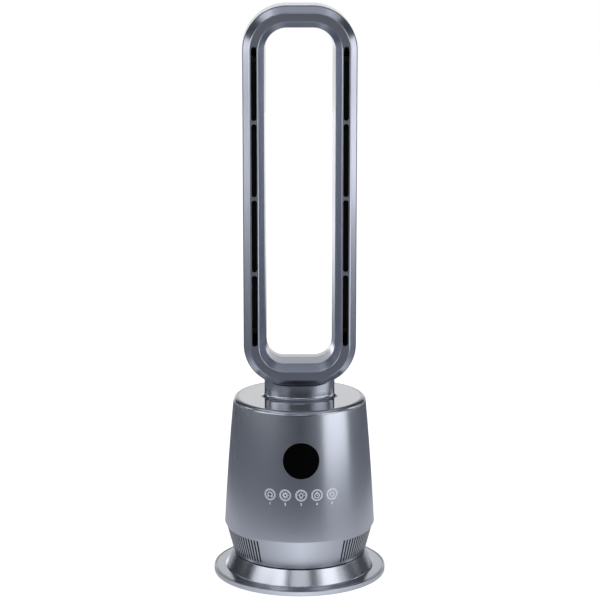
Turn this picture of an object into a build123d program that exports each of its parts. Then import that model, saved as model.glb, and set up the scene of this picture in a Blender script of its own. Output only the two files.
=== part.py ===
from build123d import *
import os
from math import atan2, cos, degrees, radians, sin

# Bladeless fan heater, in millimetres. The floor is z = 0, the swing axis is Z and the front faces -Y.
# A round base carries a blower tower that swings on it, and the tower carries an upright loop that
# blows warm air forward through four slots on each side.

# Overall sizes
total_height = 980.0
base_radius = 148.4

# Clearances
seat_gap = 0.3          # between two fitted pieces of one body
run_gap = 0.08          # radial, between a turning bore and its post or shaft
swing_gap = 0.3         # height of the gap at the swing bearing
seam = 0.8              # open seam between two outer skins
fan_gap = 1.0           # around the impeller

# Base
foot_lift = 1.5
foot_radius = 10.0
foot_count = 5
foot_circle = 124.0
pan_floor = 3.0
rim_top = 10.3
rim_wall = 3.0
rim_round = 0.9
rim_groove = 1.2
ledge_width = 6.0
cover_plate = 3.0
cover_wall = 3.0
cone_foot_radius = 127.0
cone_top_radius = 113.7
cone_top = 36.4
ballast_radius = 96.0
ballast_bore = 34.0
ballast_thick = 6.0
terminal_size = (32.0, 20.0, 12.0)
terminal_well = 6.4
terminal_y = 66.0
gland_height = 20.5
gland_radius = 6.0
gland_bore = 3.8
gland_lip = 2.4
gland_flange = 2.0

# Swing bearing and drive
post_radius = 34.0
post_wall = 8.0
glide_inner = 44.0
glide_outer = 56.0
glide_thick = 1.5
hub_wall = 3.6
hub_height = 11.8
hub_flange_radius = 60.0
swing_limit = 40.0
gear_module = 1.25
gear_teeth = 64
sector_teeth = 19
pinion_teeth = 16
gear_thick = 6.0
gear_rim = 3.0
pinion_thick = 7.0
pressure_angle = 20.0
addendum = 0.8
dedendum = 1.05
backlash = 0.25
stop_width = 8.0
stop_reach = 7.0
stop_pin_radius = 3.0
stop_slack = 0.4
motor_shaft_radius = 2.5
swing_motor_radius = 21.0
swing_motor_height = 20.0
motor_ear_reach = 27.0
motor_ear_radius = 4.5
motor_ear_thick = 1.2

# Tower floor and intake grille
swing_slit = 2.0
grille_bottom_radius = 113.7
grille_step = 1.8       # from the grille's top out to the housing's foot
grille_top = 89.5
grille_wall = 2.6
grille_lip = 9.0
grille_lip_thick = 2.5
floor_thick = 3.0
slot_pitch = 3.0
slot_width = 2.9
slot_margin = 5.2
blank_front = 71.0      # degrees of the grille at the front that have no slots
screen_thick = 1.0

# Main housing
housing_bottom_radius = 129.2
grille_top_radius = housing_bottom_radius - grille_step
housing_top_radius = 113.6
housing_top = 305.2
housing_bulge = 1.1
housing_wall = 2.8
housing_flange = 14.0
window_radius = 31.0
window_height = 230.0
window_thick = 2.4
window_gap = 0.25
display_depth = 9.0
key_height = 171.5
key_board_height = 24.0
key_board_angle = 64.0
key_board_thick = 1.2
power_board_size = (92.0, 1.6, 84.0)
power_board_inset = 28.2
power_board_y = housing_bottom_radius - power_board_inset
power_coil_size = (24.0, 8.0, 22.0)

# Blower
casing_inset = 39.2
casing_radius = housing_bottom_radius - casing_inset
impeller_side = 12.0    # from the impeller's rim to the casing's outside
impeller_radius = casing_radius - impeller_side
eye_inset = 28.0
eye_radius = impeller_radius - eye_inset
bell_rise = 5.0
bell_lip = 2.0
plate_thick = 2.5
impeller_height = 44.0
impeller_hub_radius = 9.0
impeller_hub_height = 30.0
impeller_plate = 2.0
blade_count = 7
blade_thick = 1.6
blade_inner = 36.0
blade_sweep = 46.0
blade_bow = 0.45        # share of the sweep reached half-way along a blade
fan_shaft_radius = 4.0
casing_wall = 2.2
casing_foot = 8.0
casing_height = 106.0
bullet_inset = 32.0
bullet_radius = casing_radius - bullet_inset
bullet_wall = 2.0
vane_count = 7
vane_thick = 1.8
vane_height = 36.0
nose_height = 34.0
nose_tip = 14.0
fan_motor_radius = 30.0
fan_motor_height = 38.0
fan_motor_end = 12.0
duct_wall = 2.0

# Top cover
cover_flat_radius = 105.6
shoulder_height = 7.2
shoulder_wall = 2.6
shoulder_round = 9.7
spigot = 6.0
disc_thick = 3.0
disc_gap = 0.35
disc_ledge = 8.0

# Neck
neck_half_width = 60.0
neck_half_depth = 38.0
neck_end_round = 28.0
neck_wall = 3.0
neck_flare = 6.5
neck_height = 24.6
neck_foot_thick = 0.6
stub_inset = 7.0
stub_wall = 2.5

# Loop, measured outwards from its upright middle line and backwards from its front face
loop_half_width = 95.2
loop_front = -43.5
loop_depth = 83.5
loop_gap = 1.6          # from the neck's top edge to the loop above it
top_corner = 74.0
bottom_corner = 70.0
edge_step = 1.4
outer_bevel_width = 9.9
outer_bevel_depth = 12.6
front_flat = 14.5
inner_bevel_width = 10.6
inner_bevel_depth = 14.5
inner_wall_depth = 35.0
inner_draft = 2.4
lip_depth = 20.0
lip_draft = 0.9
rear_round = 13.0
loop_wall = 2.6
skirt = 7.0
slot_run = 9.4
slot_count = 4
slot_ends = 164.8       # of the height above the housing, the part with no slots
slot_step = (total_height - housing_top - slot_ends) / slot_count
slot_bridge = 5.4
slot_top = 66.6         # from the top of the loop down to the first slot
slot_offset = 0.4       # of the slots, inwards from the middle of the flat
nozzle_wall = 0.4
nozzle_depth = 11.0
heater_width = 18.0
heater_depth = 12.0
heater_length = 452.0
heater_setback = 23.0
heater_fin_pitch = 36.0
heater_fin_thick = 6.0
heater_fin_reach = 2.0
bracket_height = 8.0

os.makedirs("parts", exist_ok=True)


def finish(builder, name):
    """Label one finished piece and write it."""
    builder.part.label = name
    export_step(builder.part, f"parts/{name}.step")


def involute_point(base, roll, turn):
    """A point of the involute of a base circle, turned about the centre; angles in radians."""
    x = base * (cos(roll) + roll * sin(roll))
    y = base * (sin(roll) - roll * cos(roll))
    return (x * cos(turn) - y * sin(turn), x * sin(turn) + y * cos(turn))


def tooth_points(teeth):
    """One gear tooth along +X, from root to root, as an involute with a flat tip."""
    pitch = gear_module * teeth / 2
    base = pitch * cos(radians(pressure_angle))
    tip = pitch + addendum * gear_module
    root = pitch - dedendum * gear_module
    pitch_roll = ((pitch / base) ** 2 - 1) ** 0.5
    tip_roll = ((tip / base) ** 2 - 1) ** 0.5
    half_tooth = (radians(360 / teeth) / 2 - backlash / pitch) / 2
    turn = half_tooth + pitch_roll - atan2(pitch_roll, 1)
    upper = [involute_point(base, -roll, turn) for roll in (tip_roll, 0)]
    start = min(root, base) - seat_gap
    side = upper + [(start * cos(turn), start * sin(turn))]
    other = [(x, -y) for x, y in reversed(side)]
    return side + other


# Base pan: the weighted tray, its rim and the ledge that the cover sits on
pan_top = foot_lift + pan_floor
ledge = rim_top - cover_plate
rim_inner = base_radius - rim_wall
ledge_inner = rim_inner - ledge_width

with BuildPart() as base_pan:
    with BuildSketch(Plane.XZ):
        with BuildLine():
            Polyline(
                (0, foot_lift),
                (base_radius - rim_round, foot_lift),
                (base_radius, foot_lift + rim_round),
                (base_radius, rim_top - rim_round),
                (base_radius - rim_round, rim_top),
                (rim_inner, rim_top),
                (rim_inner, ledge),
                (ledge_inner, ledge),
                (ledge_inner, pan_top),
                (0, pan_top),
                close=True,
            )
        make_face()
    revolve(axis=Axis.Z)
finish(base_pan, "base_pan")

# Rubber feet, bonded under the pan
with BuildPart() as rubber_feet:
    with BuildSketch():
        with PolarLocations(foot_circle, foot_count):
            Circle(foot_radius)
    extrude(amount=foot_lift)
finish(rubber_feet, "rubber_feet")

# Ballast plate, which keeps the tall tower from tipping
with BuildPart() as ballast_plate:
    with BuildSketch(Plane.XY.offset(pan_top)):
        Circle(ballast_radius)
        Circle(ballast_bore, mode=Mode.SUBTRACT)
    extrude(amount=ballast_thick)
finish(ballast_plate, "ballast_plate")

# Mains terminal block on the ballast plate
terminal_length, terminal_width, terminal_height = terminal_size
with BuildPart() as mains_terminal:
    with BuildSketch(Plane.XY.offset(pan_top + ballast_thick)):
        with Locations((0, terminal_y)):
            Rectangle(terminal_length, terminal_width)
    extrude(amount=terminal_height)
    with BuildSketch(Plane.XY.offset(pan_top + ballast_thick + terminal_height)):
        with Locations((0, terminal_y)):
            with GridLocations(terminal_length / 3, terminal_width / 2, 3, 2):
                Rectangle(terminal_well, terminal_well)
    extrude(amount=-terminal_height / 3, mode=Mode.SUBTRACT)
finish(mains_terminal, "mains_terminal")

# Base cover: flat flange, cone and the hollow post that the tower turns on
cone_lean = atan2(cone_foot_radius - cone_top_radius, cone_top - rim_top)
cone_side = cover_wall / cos(cone_lean)
shelf_under = cone_top - cover_wall
post_inner = post_radius - post_wall
hub_bottom = cone_top + glide_thick + swing_gap
hub_top = hub_bottom + hub_height
post_top = hub_top + swing_gap
cover_edge = rim_inner - rim_groove


def cone_radius(height):
    """Outer radius of the base cone at a height."""
    share = (height - rim_top) / (cone_top - rim_top)
    return cone_foot_radius + (cone_top_radius - cone_foot_radius) * share


gland_plane = Plane(
    origin=(0, cone_radius(gland_height), gland_height),
    z_dir=(0, cos(cone_lean), sin(cone_lean)),
)
with BuildPart() as base_cover:
    with BuildSketch(Plane.XZ):
        with BuildLine():
            Polyline(
                (post_inner, shelf_under),
                (post_inner, post_top),
                (post_radius, post_top),
                (post_radius, cone_top),
                (cone_top_radius, cone_top),
                (cone_foot_radius, rim_top),
                (cover_edge, rim_top),
                (cover_edge, ledge),
                (cone_radius(ledge) - cone_side, ledge),
                (cone_radius(shelf_under) - cone_side, shelf_under),
                close=True,
            )
        make_face()
    revolve(axis=Axis.Z)
    with BuildSketch(gland_plane):
        Circle(gland_radius + seat_gap)
    extrude(amount=cone_side * 2, both=True, mode=Mode.SUBTRACT)
finish(base_cover, "base_cover")

# Cord gland: a rubber bush in the back of the cone
with BuildPart() as cord_gland:
    with BuildSketch(gland_plane.offset(seat_gap)):
        Circle(gland_radius + gland_lip)
        Circle(gland_bore, mode=Mode.SUBTRACT)
    extrude(amount=gland_flange)
    with BuildSketch(gland_plane.offset(seat_gap)):
        Circle(gland_radius)
        Circle(gland_bore, mode=Mode.SUBTRACT)
    extrude(amount=-cover_wall * 2)
finish(cord_gland, "cord_gland")

# Glide ring that carries the tower's weight
with BuildPart() as glide_ring:
    with BuildSketch(Plane.XY.offset(cone_top)):
        Circle(glide_outer)
        Circle(glide_inner, mode=Mode.SUBTRACT)
    extrude(amount=glide_thick)
finish(glide_ring, "glide_ring")

# Swing gear: the fixed sector on top of the post, which also holds the tower down
gear_pitch_radius = gear_module * gear_teeth / 2
pinion_pitch_radius = gear_module * pinion_teeth / 2
gear_root = gear_pitch_radius - dedendum * gear_module
gear_plain = gear_root
drive_centre = gear_pitch_radius + pinion_pitch_radius
sector_angle = 360 / gear_teeth * (sector_teeth - 1)

with BuildPart() as swing_gear:
    with BuildSketch(Plane.XY.offset(post_top)):
        Circle(gear_plain)
        with BuildLine():
            Polyline(*tooth_points(gear_teeth), close=True)
        tooth = make_face(mode=Mode.PRIVATE)
        with PolarLocations(0, sector_teeth, 90 - sector_angle / 2, sector_angle, endpoint=True):
            add(tooth)
        with Locations((0, -(gear_plain + stop_reach / 2 - gear_rim / 2))):
            Rectangle(stop_width, stop_reach + gear_rim)
        Circle(post_inner, mode=Mode.SUBTRACT)
    extrude(amount=gear_thick)
finish(swing_gear, "swing_gear")

# Swivel plate: the tower's floor, with its hub, the two stop pins and the motor's bosses
grille_bottom = cone_top + swing_slit
floor_bottom = grille_bottom + grille_lip_thick
floor_top = floor_bottom + floor_thick
hub_outer = post_radius + run_gap + hub_wall
ear_height = post_top + gear_thick + (pinion_thick - gear_thick) / 2 + swing_gap * 5
stop_circle = gear_plain + stop_reach / 2
stop_half = degrees(atan2(stop_width / 2, stop_circle - stop_pin_radius))
pin_half = degrees(atan2(stop_pin_radius, stop_circle))
stop_turn = swing_limit + stop_half + pin_half + stop_slack
stop_turns = [radians(-90 - stop_turn), radians(-90 + stop_turn)]
stop_places = [(stop_circle * cos(turn), stop_circle * sin(turn)) for turn in stop_turns]
ear_places = [(-motor_ear_reach, drive_centre), (motor_ear_reach, drive_centre)]
floor_radius = grille_bottom_radius - grille_wall - seat_gap * 2

with BuildPart() as swivel_plate:
    with BuildSketch(Plane.XZ):
        with BuildLine():
            Polyline(
                (post_radius + run_gap, hub_bottom),
                (post_radius + run_gap, hub_top),
                (hub_outer, hub_top),
                (hub_outer, floor_top),
                (floor_radius, floor_top),
                (floor_radius, floor_bottom),
                (hub_flange_radius, floor_bottom),
                (hub_flange_radius, hub_bottom),
                close=True,
            )
        make_face()
    revolve(axis=Axis.Z)
    with BuildSketch(Plane.XY.offset(floor_top)):
        with Locations(*stop_places):
            Circle(stop_pin_radius)
    extrude(amount=post_top + gear_thick - floor_top)
    with BuildSketch(Plane.XY.offset(floor_top)):
        with Locations(*ear_places):
            Circle(motor_ear_radius)
    extrude(amount=ear_height - floor_top)
finish(swivel_plate, "swivel_plate")

# Swing motor with its two ears
with BuildPart() as swing_motor:
    with BuildSketch(Plane.XY.offset(ear_height)):
        with Locations((0, drive_centre)):
            SlotCenterToCenter(2 * motor_ear_reach, 2 * motor_ear_radius)
    extrude(amount=motor_ear_thick)
    with BuildSketch(Plane.XY.offset(ear_height)):
        with Locations((0, drive_centre)):
            Circle(swing_motor_radius)
    extrude(amount=swing_motor_height)
    with BuildSketch(Plane.XY.offset(ear_height)):
        with Locations((0, drive_centre)):
            Circle(motor_shaft_radius + run_gap)
    extrude(amount=swing_motor_height / 2, mode=Mode.SUBTRACT)
finish(swing_motor, "swing_motor")

# Swing pinion and the motor shaft that it is pressed on
pinion_bottom = post_top - (pinion_thick - gear_thick) / 2
with BuildPart() as swing_pinion:
    with BuildSketch(Plane(origin=(0, drive_centre, pinion_bottom), x_dir=(0, 1, 0), z_dir=(0, 0, 1))):
        Circle(pinion_pitch_radius - dedendum * gear_module)
        with BuildLine():
            Polyline(*tooth_points(pinion_teeth), close=True)
        tooth = make_face(mode=Mode.PRIVATE)
        with PolarLocations(0, pinion_teeth, 180 + 180 / pinion_teeth):
            add(tooth)
        Circle(motor_shaft_radius, mode=Mode.SUBTRACT)
    extrude(amount=pinion_thick)
finish(swing_pinion, "swing_pinion")

with BuildPart() as swing_motor_shaft:
    with BuildSketch(Plane.XY.offset(pinion_bottom)):
        with Locations((0, drive_centre)):
            Circle(motor_shaft_radius)
    extrude(amount=ear_height + swing_motor_height / 2 - pinion_bottom - seat_gap)
finish(swing_motor_shaft, "swing_motor_shaft")

# Intake grille: a cone of upright slots, blank across the front
grille_lean = atan2(grille_top_radius - grille_bottom_radius, grille_top - grille_bottom)
grille_side = grille_wall / cos(grille_lean)
slot_height = grille_top - grille_bottom - 2 * slot_margin
slot_near = grille_bottom_radius - grille_wall * 2
slot_far = grille_top_radius + grille_wall
slot_flare = slot_width / (grille_bottom_radius + grille_top_radius)
slotted_angle = 360 - blank_front
grille_slots = int(slotted_angle / slot_pitch)
slot_start = 90 - (grille_slots - 1) * slot_pitch / 2
slot_sweep = (grille_slots - 1) * slot_pitch


def grille_radius(height):
    """Outer radius of the intake grille at a height."""
    share = (height - grille_bottom) / (grille_top - grille_bottom)
    return grille_bottom_radius + (grille_top_radius - grille_bottom_radius) * share


lip_inner = grille_bottom_radius - grille_wall - grille_lip
with BuildPart() as intake_grille:
    with BuildSketch(Plane.XZ):
        with BuildLine():
            Polyline(
                (grille_bottom_radius, grille_bottom),
                (grille_top_radius, grille_top),
                (grille_top_radius - grille_side - grille_lip, grille_top),
                (grille_top_radius - grille_side - grille_lip, grille_top - grille_lip_thick),
                (grille_radius(grille_top - grille_lip_thick) - grille_side, grille_top - grille_lip_thick),
                (grille_radius(floor_bottom) - grille_side, floor_bottom),
                (lip_inner, floor_bottom),
                (lip_inner, grille_bottom),
                close=True,
            )
        make_face()
    revolve(axis=Axis.Z)
    with BuildSketch(Plane.XY.offset(grille_bottom + slot_margin)):
        with BuildLine():
            Polyline(
                (slot_near, slot_near * slot_flare),
                (slot_far, slot_far * slot_flare),
                (slot_far, -slot_far * slot_flare),
                (slot_near, -slot_near * slot_flare),
                close=True,
            )
        slot = make_face(mode=Mode.PRIVATE)
        with PolarLocations(0, grille_slots, slot_start, slot_sweep, endpoint=True):
            add(slot)
    extrude(amount=slot_height, mode=Mode.SUBTRACT)
finish(intake_grille, "intake_grille")

# Dust screen behind the slots
screen_foot = grille_radius(floor_top) - grille_side - seat_gap
screen_head = grille_radius(grille_top - grille_lip_thick) - grille_side - seat_gap
with BuildPart() as intake_screen:
    with BuildSketch(Plane.XZ):
        with BuildLine():
            Polyline(
                (screen_foot, floor_top),
                (screen_head, grille_top - grille_lip_thick),
                (screen_head - screen_thick, grille_top - grille_lip_thick),
                (screen_foot - screen_thick, floor_top),
                close=True,
            )
        make_face()
    revolve(axis=Axis.Z)
finish(intake_screen, "intake_screen")

# Main housing: a slightly barrelled cone with a flange at its foot and a round window in front
housing_bottom = grille_top
housing_middle = (housing_bottom + housing_top) / 2


def housing_radius(height):
    """Outer radius of the main housing at a height, with its barrel."""
    share = (height - housing_bottom) / (housing_top - housing_bottom)
    straight = housing_bottom_radius + (housing_top_radius - housing_bottom_radius) * share
    return straight + housing_bulge * 4 * share * (1 - share)


housing_lean = atan2(housing_bottom_radius - housing_top_radius, housing_top - housing_bottom)
flange_inner = housing_bottom_radius - housing_flange
window_plane = Plane(
    origin=(0, -housing_radius(window_height), window_height),
    x_dir=(1, 0, 0),
    z_dir=(0, -cos(housing_lean), sin(housing_lean)),
)
with BuildPart() as main_housing:
    with BuildSketch(Plane.XZ):
        with BuildLine():
            Polyline(
                (housing_bottom_radius, housing_bottom),
                (housing_radius(housing_middle), housing_middle),
                (housing_top_radius, housing_top),
                (housing_top_radius - housing_wall, housing_top),
                (housing_bottom_radius - housing_wall, housing_bottom + plate_thick),
                (flange_inner, housing_bottom + plate_thick),
                (flange_inner, housing_bottom),
                close=True,
            )
        make_face()
    revolve(axis=Axis.Z)
    with BuildSketch(window_plane):
        Circle(window_radius)
    extrude(amount=window_radius, both=True, mode=Mode.SUBTRACT)
finish(main_housing, "main_housing")

# Display window, flush in the housing
with BuildPart() as display_window:
    with BuildSketch(Plane.XZ):
        with BuildLine():
            Polyline(
                (housing_bottom_radius, housing_bottom),
                (housing_radius(housing_middle), housing_middle),
                (housing_top_radius, housing_top),
                (housing_top_radius - window_thick, housing_top),
                (housing_bottom_radius - window_thick, housing_bottom),
                close=True,
            )
        make_face()
    revolve(axis=Axis.Z)
    with BuildSketch(window_plane):
        Circle(window_radius - window_gap)
    extrude(amount=window_radius, both=True, mode=Mode.INTERSECT)
finish(display_window, "display_window")

# Display module behind the window
window_sag = housing_radius(window_height) - (housing_radius(window_height) ** 2 - window_radius ** 2) ** 0.5
with BuildPart() as display_module:
    with BuildSketch(window_plane.offset(-window_sag - window_thick - housing_bulge - seat_gap)):
        Circle(window_radius - window_gap)
    extrude(amount=-display_depth)
finish(display_module, "display_module")

# Touch board: a curved film on the inside of the housing, behind the printed keys
board_start = radians(-90 - key_board_angle / 2)
board_plane = Plane(
    origin=(0, 0, 0),
    x_dir=(cos(board_start), sin(board_start), 0),
    z_dir=(sin(board_start), -cos(board_start), 0),
)


def housing_inner(height):
    """Inner radius of the main housing at a height."""
    share = (height - housing_bottom - plate_thick) / (housing_top - housing_bottom - plate_thick)
    return housing_bottom_radius - housing_wall + (housing_top_radius - housing_bottom_radius) * share


key_board_bottom = key_height - key_board_height / 2
key_board_top = key_height + key_board_height / 2
with BuildPart() as touch_board:
    with BuildSketch(board_plane):
        with BuildLine():
            Polyline(
                (housing_inner(key_board_bottom) - seat_gap, key_board_bottom),
                (housing_inner(key_board_top) - seat_gap, key_board_top),
                (housing_inner(key_board_top) - seat_gap - key_board_thick, key_board_top),
                (housing_inner(key_board_bottom) - seat_gap - key_board_thick, key_board_bottom),
                close=True,
            )
        make_face()
    revolve(axis=Axis.Z, revolution_arc=key_board_angle)
finish(touch_board, "touch_board")

# Inlet bell: the plate with the air inlet under the impeller, standing on the housing's flange
bell_bottom = housing_bottom + plate_thick
bell_top = bell_bottom + plate_thick
bell_edge = housing_inner(bell_top) - seat_gap
casing_inner = casing_radius - casing_wall
with BuildPart() as inlet_bell:
    with BuildSketch(Plane.XZ):
        with BuildLine():
            Polyline(
                (eye_radius + bell_rise, bell_bottom),
                (bell_edge, bell_bottom),
                (bell_edge, bell_top),
                (eye_radius + bell_rise, bell_top),
                (eye_radius + bell_lip, bell_top + bell_rise),
                (eye_radius, bell_top + bell_rise),
                close=True,
            )
        make_face()
    revolve(axis=Axis.Z)
finish(inlet_bell, "inlet_bell")

# Blower casing round the impeller and the vanes
casing_bottom = bell_top
casing_top = casing_bottom + casing_height
with BuildPart() as blower_casing:
    with BuildSketch(Plane.XZ):
        with BuildLine():
            Polyline(
                (casing_inner, casing_bottom),
                (casing_radius + casing_foot, casing_bottom),
                (casing_radius + casing_foot, casing_bottom + casing_wall),
                (casing_radius, casing_bottom + casing_wall),
                (casing_radius, casing_top),
                (casing_inner, casing_top),
                close=True,
            )
        make_face()
    revolve(axis=Axis.Z)
finish(blower_casing, "blower_casing")

# Impeller: an open-eyed wheel of swept blades between a ring and a back plate
impeller_bottom = bell_top + bell_rise + fan_gap
impeller_top = impeller_bottom + impeller_height
blade_middle = (blade_inner + impeller_radius) / 2


def blade_point(radius, share, face):
    """A point on one face of a blade: share 0 at its inner end and 1 at its swept-back outer end."""
    turn = -radians(blade_sweep) * share + face * blade_thick / 2 / radius
    return (radius * cos(turn), radius * sin(turn))


with BuildPart() as impeller:
    with BuildSketch(Plane.XZ):
        with BuildLine():
            Polyline(
                (fan_shaft_radius, impeller_top - impeller_hub_height),
                (impeller_hub_radius, impeller_top - impeller_hub_height),
                (blade_inner, impeller_top - impeller_plate * 2),
                (impeller_radius, impeller_top - impeller_plate),
                (impeller_radius, impeller_top),
                (fan_shaft_radius, impeller_top),
                close=True,
            )
        make_face()
    revolve(axis=Axis.Z)
    with BuildSketch(Plane.XY.offset(impeller_bottom)):
        with BuildLine():
            Line(blade_point(impeller_radius, 1, 1), blade_point(impeller_radius, 1, -1))
            ThreePointArc(
                blade_point(impeller_radius, 1, -1),
                blade_point(blade_middle, blade_bow, -1),
                blade_point(blade_inner, 0, -1),
            )
            Line(blade_point(blade_inner, 0, -1), blade_point(blade_inner, 0, 1))
            ThreePointArc(
                blade_point(blade_inner, 0, 1),
                blade_point(blade_middle, blade_bow, 1),
                blade_point(impeller_radius, 1, 1),
            )
        blade = make_face(mode=Mode.PRIVATE)
        with PolarLocations(0, blade_count):
            add(blade)
    extrude(amount=impeller_height - impeller_plate)
    with BuildSketch(Plane.XY.offset(impeller_bottom)):
        Circle(impeller_radius + blade_thick)
        Circle(eye_radius + bell_lip, mode=Mode.SUBTRACT)
    extrude(amount=impeller_plate)
finish(impeller, "impeller")

# Diffuser: a bullet round the motor, held in the casing by vanes and a ring on the casing's top edge
bullet_bottom = impeller_top + fan_gap
vane_bottom = casing_top - vane_height
with BuildPart() as diffuser:
    with BuildSketch(Plane.XZ):
        with BuildLine():
            Polyline(
                (fan_motor_end, bullet_bottom),
                (bullet_radius, bullet_bottom),
                (bullet_radius, casing_top),
                (bullet_radius - bullet_wall, casing_top),
                (bullet_radius - bullet_wall, bullet_bottom + bullet_wall),
                (fan_motor_end, bullet_bottom + bullet_wall),
                close=True,
            )
        make_face()
    revolve(axis=Axis.Z)
    with BuildSketch(Plane.XY.offset(casing_top)):
        Circle(casing_radius)
        Circle(casing_inner - casing_wall, mode=Mode.SUBTRACT)
    extrude(amount=casing_wall)
    with BuildSketch(Plane.XY.offset(vane_bottom)):
        with PolarLocations((casing_inner + bullet_radius) / 2 - seat_gap, vane_count):
            Rectangle(casing_inner - bullet_radius, vane_thick)
    extrude(amount=vane_height)
finish(diffuser, "diffuser")

# Fan motor in the bullet, with its shaft down to the impeller
motor_bottom = bullet_bottom + bullet_wall
with BuildPart() as fan_motor:
    with BuildSketch(Plane.XY.offset(motor_bottom)):
        Circle(fan_motor_radius)
        Circle(fan_shaft_radius + run_gap, mode=Mode.SUBTRACT)
    extrude(amount=fan_motor_height)
    with BuildSketch(Plane.XY.offset(motor_bottom + fan_motor_height)):
        Circle(fan_motor_end)
    extrude(amount=fan_motor_end / 2)
finish(fan_motor, "fan_motor")

with BuildPart() as fan_shaft:
    with BuildSketch(Plane.XY.offset(impeller_top - impeller_hub_height)):
        Circle(fan_shaft_radius)
    extrude(amount=motor_bottom + fan_motor_height - seat_gap - impeller_top + impeller_hub_height)
finish(fan_shaft, "fan_shaft")

# Nose over the motor
with BuildPart() as motor_nose:
    with BuildSketch(Plane.XZ):
        with BuildLine():
            Polyline(
                (0, casing_top + nose_height),
                (nose_tip, casing_top + nose_height),
                (bullet_radius, casing_top),
                (bullet_radius - bullet_wall, casing_top),
                (nose_tip, casing_top + nose_height - bullet_wall),
                (0, casing_top + nose_height - bullet_wall),
                close=True,
            )
        make_face()
    revolve(axis=Axis.Z)
finish(motor_nose, "motor_nose")

# Top cover: the rounded shoulder with a spigot in the housing and a seat for the top disc
cover_top = housing_top + shoulder_height
disc_bottom = cover_top - disc_thick
spigot_radius = housing_top_radius - housing_wall - seat_gap
seat_radius = cover_flat_radius - disc_ledge
with BuildPart() as top_cover:
    with BuildSketch(Plane.XZ):
        with BuildLine():
            Polyline(
                (cover_flat_radius, cover_top),
                (cover_flat_radius, disc_bottom),
                (seat_radius, disc_bottom),
                (seat_radius, disc_bottom - shoulder_wall),
                (spigot_radius - shoulder_wall, disc_bottom - shoulder_wall),
                (spigot_radius - shoulder_wall, housing_top - spigot),
                (spigot_radius, housing_top - spigot),
                (spigot_radius, housing_top),
                (housing_top_radius, housing_top),
            )
            RadiusArc((housing_top_radius, housing_top), (cover_flat_radius, cover_top), -shoulder_round)
        make_face()
    revolve(axis=Axis.Z)
finish(top_cover, "top_cover")


def oval(outset):
    """The neck's oval, grown or shrunk all round, as two wide and two tight arcs."""
    tight = neck_end_round
    reach = neck_half_width - tight
    wide = (reach ** 2 + neck_half_depth ** 2 - tight ** 2) / (2 * (neck_half_depth - tight))
    turn = atan2(wide - neck_half_depth, reach)
    x = reach + (tight + outset) * cos(turn)
    y = (tight + outset) * sin(turn)
    with BuildSketch(mode=Mode.PRIVATE) as face:
        with BuildLine():
            ThreePointArc((x, y), (0, neck_half_depth + outset), (-x, y))
            ThreePointArc((-x, y), (-neck_half_width - outset, 0), (-x, -y))
            ThreePointArc((-x, -y), (0, -neck_half_depth - outset), (x, -y))
            ThreePointArc((x, -y), (neck_half_width + outset, 0), (x, y))
        make_face()
    return face.sketch


# Top disc with the air passage
with BuildPart() as top_disc:
    with BuildSketch(Plane.XY.offset(disc_bottom)):
        Circle(cover_flat_radius - disc_gap)
        add(oval(-neck_wall), mode=Mode.SUBTRACT)
    extrude(amount=disc_thick)
finish(top_disc, "top_disc")

# Air duct: a cone from the round casing up to the oval passage
duct_bottom = casing_top + casing_wall
with BuildPart() as air_duct:
    with BuildSketch(Plane.XZ):
        with BuildLine():
            Polyline(
                (casing_radius, duct_bottom),
                (neck_half_width, disc_bottom),
                (neck_half_width - duct_wall, disc_bottom),
                (casing_radius - duct_wall, duct_bottom),
                close=True,
            )
        make_face()
    revolve(axis=Axis.Z)
finish(air_duct, "air_duct")

# Power board with its tall parts, standing behind the blower on the bell plate
board_width, board_thick, board_tall = power_board_size
coil_width, coil_depth, coil_tall = power_coil_size
with BuildPart() as power_board:
    with BuildSketch(Plane.XY.offset(bell_top)):
        with Locations((0, power_board_y)):
            Rectangle(board_width, board_thick)
    extrude(amount=board_tall)
    with BuildSketch(Plane.XZ.offset(-power_board_y - board_thick / 2)):
        with Locations((0, bell_top + board_tall / 2)):
            with GridLocations(board_width / 2, board_tall / 2, 2, 2):
                Rectangle(coil_width, coil_tall)
    extrude(amount=-coil_depth)
finish(power_board, "power_board")

# Neck: an oval sleeve with a flared foot, its top edge cut to follow the loop
neck_top = cover_top + neck_height
loop_bottom = neck_top + loop_gap
loop_middle = (loop_bottom + total_height) / 2
stub_seat = neck_top - neck_wall


def loop_face(width, corner_shrink):
    """The loop's outline at a half width, in the current sketch plane, as one closed rounded shape."""
    inset = loop_half_width - width
    low = loop_bottom + inset
    high = total_height - inset
    top_radius = top_corner - corner_shrink
    bottom_radius = bottom_corner - corner_shrink
    with BuildSketch(Plane.XZ) as face:
        with BuildLine():
            FilletPolyline(
                (0, low),
                (width, low),
                (width, high),
                (0, high),
                radius=[bottom_radius, top_radius],
            )
            FilletPolyline(
                (0, high),
                (-width, high),
                (-width, low),
                (0, low),
                radius=[top_radius, bottom_radius],
            )
        make_face()
    return face.sketch


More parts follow.
